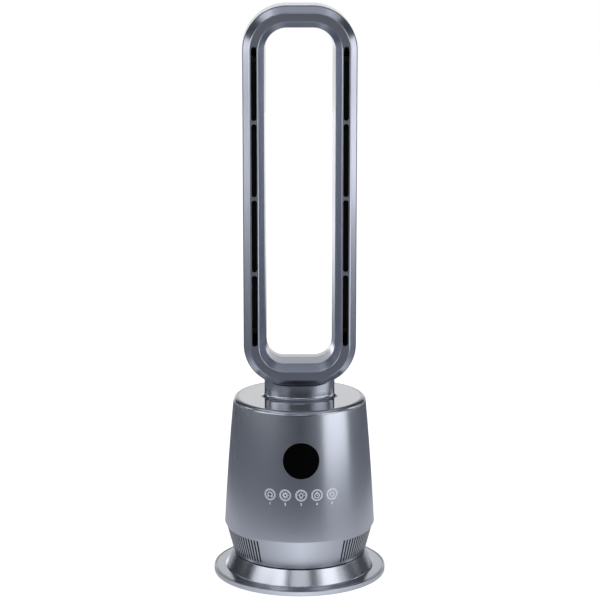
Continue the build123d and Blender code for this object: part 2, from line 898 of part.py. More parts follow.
with BuildPart() as neck_collar:
    with BuildSketch(Plane.XY.offset(cover_top)):
        add(oval(0))
    extrude(amount=neck_height * 2)
    with BuildSketch(Plane.XY.offset(cover_top)):
        add(oval(neck_flare))
    extrude(amount=neck_foot_thick)
    foot_level = cover_top + neck_foot_thick
    corner = neck_collar.edges().filter_by(
        lambda edge: abs(edge.center().Z - foot_level) < seam / 2
        and abs(edge.center().X) < neck_half_width + seam
        and abs(edge.center().Y) < neck_half_depth + seam
        and edge.length > neck_flare
    )
    fillet(corner, radius=neck_flare - seam)
    with BuildSketch(Plane.XY.offset(cover_top)):
        add(oval(-neck_wall))
    extrude(amount=stub_seat - neck_wall - cover_top, mode=Mode.SUBTRACT)
    with BuildSketch(Plane.XY.offset(cover_top)):
        add(oval(seat_gap - stub_inset))
    extrude(amount=neck_height * 2, mode=Mode.SUBTRACT)
    loop_room = loop_face(loop_half_width + loop_gap, -loop_gap)
    extrude(loop_room, amount=neck_half_depth * 2, both=True, mode=Mode.SUBTRACT)
finish(neck_collar, "neck_collar")

# The loop's section, drawn in plan across the right-hand side
bevel_outer = loop_half_width - edge_step
skirt_outer = loop_half_width - loop_wall - seat_gap
flat_outer = bevel_outer - outer_bevel_width
flat_inner = flat_outer - front_flat
opening = flat_inner - inner_bevel_width
bevel_back = loop_front + outer_bevel_depth
wall_front = loop_front + inner_bevel_depth
wall_back = wall_front + inner_wall_depth
lip_width = opening - inner_draft
lip_back = wall_back + seam + lip_depth
lip_edge = lip_width - lip_draft
loop_back = loop_front + loop_depth
path_width = (flat_outer + flat_inner) / 2


def loop_path():
    """The closed line that the loop's sections are swept along, up the right side first."""
    inset = loop_half_width - path_width
    low = loop_bottom + inset
    high = total_height - inset
    top_radius = top_corner - inset
    bottom_radius = bottom_corner - inset
    with BuildLine(Plane.XZ) as path:
        FilletPolyline(
            (path_width, loop_middle),
            (path_width, high),
            (-path_width, high),
            (-path_width, loop_middle),
            radius=top_radius,
        )
        FilletPolyline(
            (-path_width, loop_middle),
            (-path_width, low),
            (path_width, low),
            (path_width, loop_middle),
            radius=bottom_radius,
        )
    return path.wire()


# Front frame: outer bevel, flat with the slots, inner bevel and the inner wall
with BuildPart() as loop_front_frame:
    with BuildSketch(Plane.XY.offset(loop_middle)):
        with BuildLine():
            Polyline(
                (skirt_outer, bevel_back + skirt),
                (skirt_outer, bevel_back),
                (bevel_outer, bevel_back),
                (flat_outer, loop_front),
                (flat_inner, loop_front),
                (opening, wall_front),
                (lip_width, wall_back),
                (lip_width + loop_wall, wall_back),
                (opening + loop_wall, wall_front + loop_wall / 2),
                (flat_inner + loop_wall / 2, loop_front + loop_wall),
                (flat_outer - loop_wall / 2, loop_front + loop_wall),
                (skirt_outer - loop_wall, bevel_back + seam),
                (skirt_outer - loop_wall, bevel_back + skirt),
                close=True,
            )
        make_face()
    sweep(path=loop_path())
    slot_length = slot_step - slot_bridge
    first_slot = total_height - slot_top - slot_length / 2
    slot_middle = (flat_outer + flat_inner) / 2 - slot_offset
    slot_places = [
        (side * slot_middle, first_slot - slot_step * n) for side in (-1, 1) for n in range(slot_count)
    ]
    with BuildSketch(Plane.XZ.offset(-loop_front)):
        with Locations(*slot_places):
            SlotOverall(slot_length, slot_run, rotation=90)
    extrude(amount=-loop_wall * 2, mode=Mode.SUBTRACT)
finish(loop_front_frame, "loop_front_frame")

# The hollow inside the loop's outer wall, which trims the stub
stub_rise = neck_wall + loop_gap + bottom_corner
shell_core = extrude(
    loop_face(loop_half_width - loop_wall, loop_wall),
    amount=loop_depth,
    both=True,
    mode=Mode.PRIVATE,
)

# Rear shell: outer wall, rounded back and inner lip, with the oval stub that enters the neck
with BuildPart() as loop_rear_shell:
    with BuildSketch(Plane.XY.offset(loop_middle)):
        with BuildLine():
            Polyline(
                (loop_half_width - loop_wall, bevel_back + edge_step),
                (loop_half_width, bevel_back + edge_step),
                (loop_half_width, loop_back - rear_round),
            )
            RadiusArc(
                (loop_half_width, loop_back - rear_round),
                (loop_half_width - rear_round, loop_back),
                -rear_round,
            )
            Line((loop_half_width - rear_round, loop_back), (lip_edge + rear_round, loop_back))
            RadiusArc(
                (lip_edge + rear_round, loop_back),
                (lip_edge, loop_back - rear_round),
                -rear_round,
            )
            Polyline(
                (lip_edge, loop_back - rear_round),
                (lip_width, wall_back + seam),
                (lip_width + loop_wall, wall_back + seam),
                (lip_edge + loop_wall, loop_back - rear_round),
            )
            RadiusArc(
                (lip_edge + loop_wall, loop_back - rear_round),
                (lip_edge + rear_round, loop_back - loop_wall),
                rear_round - loop_wall,
            )
            Line(
                (lip_edge + rear_round, loop_back - loop_wall),
                (loop_half_width - rear_round, loop_back - loop_wall),
            )
            RadiusArc(
                (loop_half_width - rear_round, loop_back - loop_wall),
                (loop_half_width - loop_wall, loop_back - rear_round),
                rear_round - loop_wall,
            )
            Line(
                (loop_half_width - loop_wall, loop_back - rear_round),
                (loop_half_width - loop_wall, bevel_back + edge_step),
            )
        make_face()
    sweep(path=loop_path())
    with BuildSketch(Plane.XY.offset(stub_seat)):
        add(oval(-stub_inset))
    extrude(amount=stub_rise)
    add(shell_core, mode=Mode.SUBTRACT)
    with BuildSketch(Plane.XY.offset(stub_seat)):
        add(oval(-stub_inset - stub_wall))
    extrude(amount=stub_rise, mode=Mode.SUBTRACT)
finish(loop_rear_shell, "loop_rear_shell")

# Outlet nozzles: black channels behind the slots, one strip on each side
nozzle_front = loop_front + loop_wall
nozzle_width = slot_run + 2 * nozzle_wall
nozzle_length = slot_count * slot_step + slot_bridge
nozzle_centre = first_slot - slot_step * (slot_count - 1) / 2
heater_front = loop_front + heater_setback
heater_middle = heater_front + heater_depth / 2
channel_outer = loop_half_width - loop_wall - seat_gap
channel_inner = opening + loop_wall + seat_gap * 2


def make_nozzle(side):
    """The nozzle strip on one side: -1 for the left, 1 for the right."""
    with BuildPart() as nozzle:
        with BuildSketch(Plane.XZ.offset(-nozzle_front)):
            with Locations((side * slot_middle, nozzle_centre)):
                Rectangle(nozzle_width, nozzle_length)
        extrude(amount=-nozzle_depth)
        with BuildSketch(Plane.XZ.offset(-nozzle_front)):
            with Locations(*[place for place in slot_places if place[0] * side > 0]):
                Rectangle(slot_run, slot_length)
        extrude(amount=-nozzle_depth, mode=Mode.SUBTRACT)
    return nozzle


finish(make_nozzle(-1), "outlet_nozzle_left")
finish(make_nozzle(1), "outlet_nozzle_right")


def make_heater(side):
    """A heating bar with its fins, standing in the loop's side channel."""
    fins = int((heater_length - 2 * bracket_height) / heater_fin_pitch)
    with BuildPart() as heater:
        with BuildSketch(Plane.XY.offset(nozzle_centre - heater_length / 2)):
            with Locations((side * slot_middle, heater_middle)):
                Rectangle(heater_width, heater_depth)
        extrude(amount=heater_length)
        with BuildSketch(Plane.XZ.offset(-heater_front)):
            with Locations((side * slot_middle, nozzle_centre)):
                with GridLocations(0, heater_fin_pitch, 1, fins):
                    Rectangle(heater_width + 2 * heater_fin_reach, heater_fin_thick)
        extrude(amount=-heater_depth)
    return heater


finish(make_heater(-1), "heater_left")
finish(make_heater(1), "heater_right")

# Heater brackets: a saddle across the channel at each end of each bar
bracket_middle = (channel_outer + channel_inner) / 2
with BuildPart() as heater_brackets:
    for end in (-1, 1):
        bracket_centre = nozzle_centre + end * (heater_length + bracket_height) / 2
        with BuildSketch(Plane.XY.offset(bracket_centre - bracket_height / 2)):
            with Locations((-bracket_middle, heater_middle), (bracket_middle, heater_middle)):
                Rectangle(channel_outer - channel_inner, heater_depth)
        extrude(amount=bracket_height)
finish(heater_brackets, "heater_brackets")
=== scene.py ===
import bmesh
import bpy
import math
from mathutils import Euler, Matrix, Vector


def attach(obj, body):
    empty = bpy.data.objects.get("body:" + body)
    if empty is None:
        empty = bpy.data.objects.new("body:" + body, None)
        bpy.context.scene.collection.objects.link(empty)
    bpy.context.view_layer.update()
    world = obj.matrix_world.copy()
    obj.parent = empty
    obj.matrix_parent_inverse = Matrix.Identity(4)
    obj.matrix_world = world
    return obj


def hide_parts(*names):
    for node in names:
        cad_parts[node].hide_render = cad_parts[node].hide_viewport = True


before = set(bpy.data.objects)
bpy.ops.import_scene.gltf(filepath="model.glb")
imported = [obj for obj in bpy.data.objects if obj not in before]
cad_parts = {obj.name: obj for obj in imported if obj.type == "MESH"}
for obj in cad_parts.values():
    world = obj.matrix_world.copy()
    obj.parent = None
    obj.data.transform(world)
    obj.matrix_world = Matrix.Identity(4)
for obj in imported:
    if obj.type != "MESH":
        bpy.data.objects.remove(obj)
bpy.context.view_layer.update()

# Camera: a long lens in front of the heater, a little above it and looking down, with the swing axis
# just left of the frame's middle, as in the photograph.
CAMERA_DISTANCE = 3.6622
CAMERA_HEIGHT = 1.2866
CAMERA_PITCH = math.radians(12.43)
CAMERA_TURN = math.radians(-1.3)
SENSOR = 36.0
FOCAL_PIXELS = 2207.1
FRAME_PIXELS = 600

camera_data = bpy.data.cameras.new("camera")
camera_data.sensor_width = SENSOR
camera_data.lens = FOCAL_PIXELS * SENSOR / FRAME_PIXELS
camera_data.shift_x = 0.5 / FRAME_PIXELS
camera_data.clip_end = 50
camera = bpy.data.objects.new("camera", camera_data)
bpy.context.collection.objects.link(camera)
camera.location = Matrix.Rotation(CAMERA_TURN, 3, "Z") @ Vector((0, -CAMERA_DISTANCE, CAMERA_HEIGHT))
camera.rotation_euler = Euler((math.pi / 2 - CAMERA_PITCH, 0, CAMERA_TURN))
bpy.context.scene.camera = camera
bpy.context.scene.view_settings.view_transform = "Standard"


def from_hex(code):
    """An sRGB hex colour as linear red, green, blue and alpha."""
    parts = [int(code[n:n + 2], 16) / 255 for n in (0, 2, 4)]
    return [c / 12.92 if c <= 0.04045 else ((c + 0.055) / 1.055) ** 2.4 for c in parts] + [1]


def add_node(tree, kind, settings=None, **links):
    """A new node with its settings; a link's name is the input's, with spaces as underscores."""
    node = tree.nodes.new(kind)
    for name, value in (settings or {}).items():
        setattr(node, name, value)
    for name, value in links.items():
        key = name.replace("_", " ")
        socket = node.inputs[int(key[1:])] if key[0] == "i" and key[1:].isdigit() else node.inputs[key]
        if isinstance(value, bpy.types.NodeSocket):
            tree.links.new(value, socket)
        else:
            socket.default_value = value
    return node


# Studio: the camera sees white all round. The lacquer sees a dim blue-grey room that gets lighter
# towards its ceiling and is white behind the heater, with softboxes at the front, sides and top.
world = bpy.data.worlds.new("studio")
bpy.context.scene.world = world
world.use_nodes = True
sky = world.node_tree
sky.nodes.clear()


def ramp(tree, value, stops):
    """A colour ramp over a value, from (place, hex colour) stops."""
    node = add_node(tree, "ShaderNodeValToRGB", Fac=value)
    node.color_ramp.elements[0].position = stops[0][0]
    node.color_ramp.elements[0].color = from_hex(stops[0][1])
    node.color_ramp.elements[1].position = stops[-1][0]
    node.color_ramp.elements[1].color = from_hex(stops[-1][1])
    for place, code in stops[1:-1]:
        node.color_ramp.elements.new(place).color = from_hex(code)
    return node.outputs["Color"]


look = add_node(sky, "ShaderNodeTexCoord")
toward = add_node(sky, "ShaderNodeSeparateXYZ", Vector=look.outputs["Generated"])
WHITE = from_hex("ffffff")
WALLS = [(0.0, "14171d"), (0.5, "1c2028"), (0.8, "2e3848"), (1.0, "39465a")]
BACKDROP = [(0.86, "000000"), (0.95, "ffffff")]
walls = ramp(sky, toward.outputs["Z"], WALLS)
behind = ramp(sky, toward.outputs["Y"], BACKDROP)
room = add_node(sky, "ShaderNodeMix", {"data_type": "RGBA"}, i0=behind, i6=walls, i7=WHITE)
ray = add_node(sky, "ShaderNodeLightPath")
room_light = add_node(sky, "ShaderNodeBackground", Color=room.outputs[2], Strength=1.0)
backdrop = add_node(sky, "ShaderNodeBackground", Color=WHITE, Strength=1.0)
picked = add_node(sky, "ShaderNodeMixShader", Fac=ray.outputs["Is Camera Ray"],
                  i1=room_light.outputs["Background"], i2=backdrop.outputs["Background"])
add_node(sky, "ShaderNodeOutputWorld", Surface=picked.outputs["Shader"])


def softbox(name, angle, distance, height, width, tall, radiance, aim_height):
    """A rectangular lamp, in metres, at an angle counted from the front towards the right."""
    lamp = bpy.data.lights.new(name, "AREA")
    lamp.shape = "RECTANGLE"
    lamp.size = width
    lamp.size_y = tall
    lamp.energy = radiance * math.pi * width * tall
    holder = bpy.data.objects.new(name, lamp)
    bpy.context.collection.objects.link(holder)
    turn = math.radians(angle)
    holder.location = (distance * math.sin(turn), -distance * math.cos(turn), height)
    aim = Vector((0, 0, aim_height)) - holder.location
    holder.rotation_euler = aim.to_track_quat("-Z", "Y").to_euler()
    holder.visible_camera = False


# name, angle in degrees, distance, height, width, tallness, radiance and the height it aims at
LAMPS = [
    ("right_low", 60, 1.4, 0.2, 1.16, 0.4, 1.85, 0.2),
    ("right_high", 53, 1.4, 0.8, 1.3, 0.8, 0.77, 0.8),
    ("left_middle", -67, 1.4, 0.58, 0.75, 0.35, 1.11, 0.58),
    ("left_high", -52, 1.4, 0.98, 1.45, 0.45, 2.46, 0.98),
    ("right_side_high", 105, 1.4, 0.98, 0.4, 0.45, 2.11, 0.98),
    ("right_side_middle", 112, 1.4, 0.58, 0.6, 0.35, 1.00, 0.58),
    ("left_side_high", -105, 1.4, 0.98, 0.4, 0.45, 2.06, 0.98),
    ("left_side_middle", -112, 1.4, 0.58, 0.6, 0.35, 0.38, 0.58),
    ("rear_left_low", -160, 1.4, 0.2, 0.4, 0.4, 0.82, 0.2),
    ("over_front", 0, 2.2, 1.75, 1.3, 0.8, 1.36, 0.15),
    ("over_right", 52, 2.2, 1.5, 1.2, 0.9, 1.44, 0.15),
    ("over_right_side", 90, 2.2, 1.1, 0.8, 0.8, 0.06, 0.15),
    ("top_right", 60, 1.35, 2.8, 1.0, 1.0, 1.11, 0.3),
    ("top_left", -60, 1.35, 2.8, 1.0, 1.0, 1.46, 0.3),
    ("top_rear_right", 120, 1.35, 2.8, 1.0, 1.0, 0.88, 0.3),
    ("top_rear_left", -120, 1.35, 2.8, 1.0, 1.0, 1.39, 0.3),
    ("top_middle", 0, 0.01, 3.0, 1.5, 1.5, 0.48, 0.3),
]
for lamp_values in LAMPS:
    softbox(*lamp_values)

# Floor: white paper that keeps the heater's shadow. To the camera it glows up to white away from the
# foot, and the lacquer mirrors it with a brightness that changes with the place.
FLOOR_HALF = 6.0
SHADOW_REACH = 0.3
WHITE_REACH = 1.5
SHADOW_GLOW = 0.78
# (metres from the axis, brightness in the lacquer) of the paper in front, beside and behind
PAPER_FRONT = [(0.0, 0.0), (0.2, 1.36), (0.45, 0.61), (0.75, 0.0), (3.0, 0.0), (6.0, 0.49)]
PAPER_SIDE = [(0.0, 0.37), (0.2, 0.43), (0.45, 0.6), (0.75, 0.11), (1.8, 0.0), (3.0, 0.44), (6.0, 2.0)]
PAPER_BACK = [(0.0, 0.0), (1.8, 0.0), (3.0, 1.0), (6.0, 1.22)]
floor_mesh = bpy.data.meshes.new("floor")
floor_shape = bmesh.new()
bmesh.ops.create_grid(floor_shape, x_segments=1, y_segments=1, size=FLOOR_HALF)
floor_shape.to_mesh(floor_mesh)
floor_shape.free()
floor = bpy.data.objects.new("floor", floor_mesh)
bpy.context.collection.objects.link(floor)
floor_finish = bpy.data.materials.new("white_floor")
floor_finish.use_nodes = True
ground = floor_finish.node_tree
ground.nodes.clear()
floor_ray = add_node(ground, "ShaderNodeLightPath")
floor_seen = floor_ray.outputs["Is Camera Ray"]
floor_tone = add_node(ground, "ShaderNodeMix", {"data_type": "RGBA"}, i0=floor_seen,
                      i6=from_hex("959aa4"), i7=from_hex("eeeff1"))
floor_diffuse = add_node(ground, "ShaderNodeBsdfDiffuse", Color=floor_tone.outputs[2])
floor_place = add_node(ground, "ShaderNodeTexCoord")
floor_spot = floor_place.outputs["Object"]
floor_way = add_node(ground, "ShaderNodeVectorMath", {"operation": "NORMALIZE"}, i0=floor_spot)
floor_side = add_node(ground, "ShaderNodeSeparateXYZ", Vector=floor_way.outputs["Vector"])
floor_length = add_node(ground, "ShaderNodeVectorMath", {"operation": "LENGTH"}, i0=floor_spot)
floor_reach = floor_length.outputs["Value"]


def floor_sum_of(operation, first, second=0.0):
    """One step of arithmetic in the floor's material."""
    step = add_node(ground, "ShaderNodeMath", {"operation": operation}, i0=first, i1=second)
    return step.outputs["Value"]


beside = floor_sum_of("ABSOLUTE", floor_side.outputs["X"])
along = floor_sum_of("SUBTRACT", 1.0, beside)
in_front = floor_sum_of("MULTIPLY", along, floor_sum_of("LESS_THAN", floor_side.outputs["Y"]))
behind_it = floor_sum_of("MULTIPLY", along, floor_sum_of("GREATER_THAN", floor_side.outputs["Y"]))
paper_place = floor_sum_of("DIVIDE", floor_reach, FLOOR_HALF)
paper_total = 0.0
for share, stops in ((in_front, PAPER_FRONT), (beside, PAPER_SIDE), (behind_it, PAPER_BACK)):
    paper = add_node(ground, "ShaderNodeFloatCurve", Value=paper_place)
    curve = paper.mapping.curves[0]
    for place, level in stops[1:-1]:
        curve.points.new(place / FLOOR_HALF, level)
    curve.points[0].location = (0.0, stops[0][1])
    curve.points[-1].location = (1.0, stops[-1][1])
    for point in curve.points:
        point.handle_type = "VECTOR"
    paper.mapping.update()
    paper_share = floor_sum_of("MULTIPLY", paper.outputs["Value"], share)
    paper_total = floor_sum_of("ADD", paper_share, paper_total)
floor_mirror = floor_sum_of("MULTIPLY", paper_total, floor_ray.outputs["Is Glossy Ray"])
floor_white = add_node(ground, "ShaderNodeMapRange", Value=floor_reach, From_Min=SHADOW_REACH,
                       From_Max=WHITE_REACH, To_Min=SHADOW_GLOW, To_Max=1.0)
floor_lift = add_node(ground, "ShaderNodeMath", {"operation": "MULTIPLY_ADD"},
                      i0=floor_seen, i1=floor_white.outputs["Result"], i2=floor_mirror)
floor_glow = add_node(ground, "ShaderNodeEmission", Color=WHITE, Strength=floor_lift.outputs["Value"])
floor_sum = add_node(ground, "ShaderNodeAddShader",
                     i0=floor_diffuse.outputs["BSDF"], i1=floor_glow.outputs["Emission"])
add_node(ground, "ShaderNodeOutputMaterial", Surface=floor_sum.outputs["Shader"])
floor_mesh.materials.append(floor_finish)


# Base: the round pan with its flat flange, moulded in ABS and lacquered metallic silver-blue.
# Its rim stands a hair above the cover inside it, and its edges are lightly rounded.
BASE_RADIUS = 148.4
FOOT_LIFT = 1.5
RIM_TOP = 10.3
RIM_WALL = 3.0
FLOOR_OF_PAN = 4.5
LEDGE = 7.3
LEDGE_WIDTH = 6.0
FULL_TURN = 2 * math.pi
ROUND_STEPS = 240
MM = 0.001
WELD = 0.001            # points nearer than this become one
FLAKES_PER_METRE = 900.0
CLOUDS_PER_METRE = 6.0
SATIN_SPREAD = 0.02


def close_outline(shape, points):
    """Joins points in turn, and the last to the first."""
    for first, second in zip(points, points[1:] + points[:1]):
        shape.edges.new((first, second))


def corner_shape(corners):
    """A bmesh with a closed outline of (across, along, rounding) corners, each marked by its number."""
    shape = bmesh.new()
    mark = shape.verts.layers.int.new("corner")
    points = []
    for number, (across, along, _) in enumerate(corners):
        point = shape.verts.new((across, along, 0))
        point[mark] = number + 1
        points.append(point)
    close_outline(shape, points)
    return shape, mark


def round_corners(shape, mark, corners):
    """Rounds the long edges that the marked corners drew, each by its own amount."""
    for amount in sorted({corner[2] for corner in corners if corner[2] > 0}):
        wanted = {n + 1 for n, corner in enumerate(corners) if corner[2] == amount}
        edges = [edge for edge in shape.edges
                 if edge.verts[0][mark] == edge.verts[1][mark] and edge.verts[0][mark] in wanted]
        bmesh.ops.bevel(shape, geom=edges, offset=amount, segments=4 if amount > 1 else 2,
                        profile=0.5, affect="EDGES", material=-1)


def keep_piece(name, shape, finish, body, slot, *replaced, sharp=35):
    """Turns a bmesh in millimetres into a smooth-shaded piece that rides on a body."""
    bmesh.ops.recalc_face_normals(shape, faces=shape.faces)
    bmesh.ops.scale(shape, vec=(MM, MM, MM), verts=shape.verts)
    for face in shape.faces:
        face.smooth = True
    for edge in shape.edges:
        edge.smooth = len(edge.link_faces) == 2 and edge.calc_face_angle() < math.radians(sharp)
    mesh = bpy.data.meshes.new(name)
    shape.to_mesh(mesh)
    shape.free()
    mesh.materials.append(finish)
    piece = bpy.data.objects.new(name, mesh)
    bpy.context.collection.objects.link(piece)
    weighted = piece.modifiers.new("even_shading", "WEIGHTED_NORMAL")
    weighted.keep_sharp = True
    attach(piece, body)
    if replaced:
        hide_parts(*replaced)
    return piece


def spun(corners):
    """A solid of revolution round the swing axis, from (radius, height, rounding) corners."""
    shape, mark = corner_shape(corners)
    bmesh.ops.rotate(shape, verts=shape.verts, cent=(0, 0, 0), matrix=Matrix.Rotation(math.pi / 2, 3, "X"))
    bmesh.ops.spin(shape, geom=shape.verts[:] + shape.edges[:], cent=(0, 0, 0), axis=(0, 0, 1),
                   angle=FULL_TURN, steps=ROUND_STEPS, use_merge=True)
    bmesh.ops.remove_doubles(shape, verts=shape.verts, dist=WELD)
    round_corners(shape, mark, corners)
    return shape


def lacquer(name, colour, roughness, coat_roughness, flake=0.012, speckle=0.04):
    """Metallic lacquer: aluminium flake in a tinted base under a clear coat."""
    finish = bpy.data.materials.new(name)
    finish.use_nodes = True
    tree = finish.node_tree
    shader = tree.nodes["Principled BSDF"]
    where = add_node(tree, "ShaderNodeTexCoord")
    grains = add_node(tree, "ShaderNodeTexNoise", Vector=where.outputs["Object"],
                      Scale=FLAKES_PER_METRE, Detail=2.0)
    clouds = add_node(tree, "ShaderNodeTexNoise", Vector=where.outputs["Object"],
                      Scale=CLOUDS_PER_METRE, Detail=3.0)
    mixed = add_node(tree, "ShaderNodeMath", {"operation": "MULTIPLY_ADD"},
                     i0=grains.outputs["Fac"], i1=speckle, i2=1 - speckle / 2)
    tint = add_node(tree, "ShaderNodeVectorMath", {"operation": "SCALE"},
                    i0=from_hex(colour)[:3], Scale=mixed.outputs["Value"])
    tree.links.new(tint.outputs["Vector"], shader.inputs["Base Color"])
    satin = add_node(tree, "ShaderNodeMapRange", Value=clouds.outputs["Fac"],
                     To_Min=roughness - SATIN_SPREAD, To_Max=roughness + SATIN_SPREAD)
    tree.links.new(satin.outputs["Result"], shader.inputs["Roughness"])
    bump = add_node(tree, "ShaderNodeBump", Height=grains.outputs["Fac"], Strength=flake, Distance=0.0005)
    tree.links.new(bump.outputs["Normal"], shader.inputs["Normal"])
    shader.inputs["Metallic"].default_value = 0.9
    shader.inputs["Coat Weight"].default_value = 0.6
    shader.inputs["Coat Roughness"].default_value = coat_roughness
    shader.inputs["Coat IOR"].default_value = 1.5
    return finish


satin_lacquer = lacquer("satin_silver_blue_lacquer", "adb1bc", 0.27, 0.16)
# The base's copy is glossier, which is real, but its base colour is set lighter than the satin's as painted
# light, for light the lamps don't bring to the base.
gloss_lacquer_painted_lighter = lacquer("gloss_silver_blue_lacquer_painted_lighter", "babec8", 0.24, 0.10)

RIM_INNER = BASE_RADIUS - RIM_WALL
pan_shape = spun([
    (1, FOOT_LIFT, 0), (BASE_RADIUS, FOOT_LIFT, 0.9), (BASE_RADIUS, RIM_TOP, 1.2),
    (RIM_INNER, RIM_TOP, 0.4), (RIM_INNER, LEDGE, 0), (RIM_INNER - LEDGE_WIDTH, LEDGE, 0),
    (RIM_INNER - LEDGE_WIDTH, FLOOR_OF_PAN, 0), (1, FLOOR_OF_PAN, 0),
])
keep_piece("base_pan_lacquered", pan_shape, gloss_lacquer_painted_lighter, "base", "body_paint", "base_pan")

# Base cover: the flat flange inside the rim and the cone above it, one lacquered moulding, with the
# hollow post in the middle that the tower turns on. A hole at the back takes the cord bush.
COVER_EDGE = 144.2
CONE_FOOT = 127.0
CONE_TOP_RADIUS = 113.7
CONE_TOP = 36.4
COVER_WALL = 3.0
CONE_INSET = 1.86
POST_OUTER = 34.0
POST_INNER = 26.0
POST_TOP = 50.3
GLAND_HEIGHT = 20.5
GLAND_RADIUS = 6.3
GLAND_CUT = 16
cover_shape = spun([
    (POST_INNER, CONE_TOP - COVER_WALL, 0), (POST_INNER, POST_TOP, 0), (POST_OUTER, POST_TOP, 0),
    (POST_OUTER, CONE_TOP, 0), (CONE_TOP_RADIUS, CONE_TOP, 0.8), (CONE_FOOT, RIM_TOP, 1.6),
    (COVER_EDGE, RIM_TOP, 0.5), (COVER_EDGE, LEDGE, 0), (CONE_FOOT - CONE_INSET, LEDGE, 0),
    (CONE_TOP_RADIUS - CONE_INSET, CONE_TOP - COVER_WALL, 0),
])


def add_cylinder(shape, radius, depth, place, steps=48):
    """Adds a capped cylinder to a bmesh and gives its points."""
    return bmesh.ops.create_cone(shape, cap_ends=True, segments=steps, radius1=radius, radius2=radius,
                                 depth=depth, matrix=place)["verts"]


def cut_out(shape, cutter):
    """The first bmesh with the second taken out of it; both are used up."""
    parts = []
    for name, source in (("cut_body", shape), ("cut_tool", cutter)):
        bmesh.ops.recalc_face_normals(source, faces=source.faces)
        mesh = bpy.data.meshes.new(name)
        source.to_mesh(mesh)
        source.free()
        part = bpy.data.objects.new(name, mesh)
        bpy.context.collection.objects.link(part)
        parts.append(part)
    body, tool = parts
    cut = body.modifiers.new("cut", "BOOLEAN")
    cut.operation = "DIFFERENCE"
    cut.solver = "EXACT"
    cut.object = tool
    bpy.context.view_layer.update()
    result = bmesh.new()
    result.from_object(body, bpy.context.evaluated_depsgraph_get())
    for part in parts:
        bpy.data.objects.remove(part, do_unlink=True)
    return result


gland_lean = math.atan2(CONE_FOOT - CONE_TOP_RADIUS, CONE_TOP - RIM_TOP)
gland_y = CONE_FOOT + (CONE_TOP_RADIUS - CONE_FOOT) * (GLAND_HEIGHT - RIM_TOP) / (CONE_TOP - RIM_TOP)
gland_place = (Matrix.Translation((0, gland_y, GLAND_HEIGHT))
               @ Matrix.Rotation(gland_lean - math.pi / 2, 4, "X"))
gland_hole = bmesh.new()
add_cylinder(gland_hole, GLAND_RADIUS, GLAND_CUT, gland_place)
cover_shape = cut_out(cover_shape, gland_hole)
keep_piece("base_cone_lacquered", cover_shape, gloss_lacquer_painted_lighter, "base", "body_paint", "base_cover")

# Cord bush: a black rubber ring pushed into the hole at the back of the cone.
BUSH_BORE = 3.8
BUSH_FLANGE = 8.4
BUSH_OUTER = 6.0
BUSH_FRONT = 2.3
BUSH_SEAT = 0.3
BUSH_BACK = -5.7
bush_shape = spun([
    (BUSH_BORE, BUSH_FRONT, 0.5), (BUSH_FLANGE, BUSH_FRONT, 0.8), (BUSH_FLANGE, BUSH_SEAT, 0),
    (BUSH_OUTER, BUSH_SEAT, 0), (BUSH_OUTER, BUSH_BACK, 0), (BUSH_BORE, BUSH_BACK, 0),
])
bmesh.ops.transform(bush_shape, matrix=gland_place, verts=bush_shape.verts)


def moulded(name, colour, roughness, grain_size=0.6, bump_strength=0.15, metallic=0.0, speckle=0.10):
    """A moulded or worked surface: one colour with fine grain; grain_size is in millimetres."""
    finish = bpy.data.materials.new(name)
    finish.use_nodes = True
    tree = finish.node_tree
    shader = tree.nodes["Principled BSDF"]
    where = add_node(tree, "ShaderNodeTexCoord")
    grain = add_node(tree, "ShaderNodeTexNoise", Vector=where.outputs["Object"],
                     Scale=1 / (grain_size * MM), Detail=3.0)
    shade = add_node(tree, "ShaderNodeMath", {"operation": "MULTIPLY_ADD"},
                     i0=grain.outputs["Fac"], i1=speckle, i2=1 - speckle / 2)
    tint = add_node(tree, "ShaderNodeVectorMath", {"operation": "SCALE"},
                    i0=from_hex(colour)[:3], Scale=shade.outputs["Value"])
    tree.links.new(tint.outputs["Vector"], shader.inputs["Base Color"])
    bump = add_node(tree, "ShaderNodeBump", Height=grain.outputs["Fac"],
                    Strength=bump_strength, Distance=0.0002)
    tree.links.new(bump.outputs["Normal"], shader.inputs["Normal"])
    shader.inputs["Roughness"].default_value = roughness
    shader.inputs["Metallic"].default_value = metallic
    return finish


black_rubber = moulded("black_rubber", "18181a", 0.75, 0.5, 0.3)
keep_piece("cord_bush", bush_shape, black_rubber, "base", "rubber_black", "cord_gland")

# Intake grille: a lacquered conical ring under the housing with upright slots all round its back and
# sides, left blank across the front. It is one ABS moulding with walls of even thickness.
GRILLE_BOTTOM = 38.4
GRILLE_TOP = 89.5
GRILLE_BOTTOM_RADIUS = 113.7
GRILLE_TOP_RADIUS = 127.4
GRILLE_WALL = 2.6
SLOT_MARGIN = 5.2
GRILLE_COLUMNS = 240
BLANK_HALF = 35.0       # degrees to each side of the front


def thicken(shape, wall):
    """Turns an open skin's faces away from the swing axis and gives it a wall's thickness."""
    bmesh.ops.recalc_face_normals(shape, faces=shape.faces)
    if sum(face.normal.x * face.calc_center_median().x for face in shape.faces) < 0:
        bmesh.ops.reverse_faces(shape, faces=shape.faces)
    bmesh.ops.solidify(shape, geom=shape.faces[:], thickness=wall)


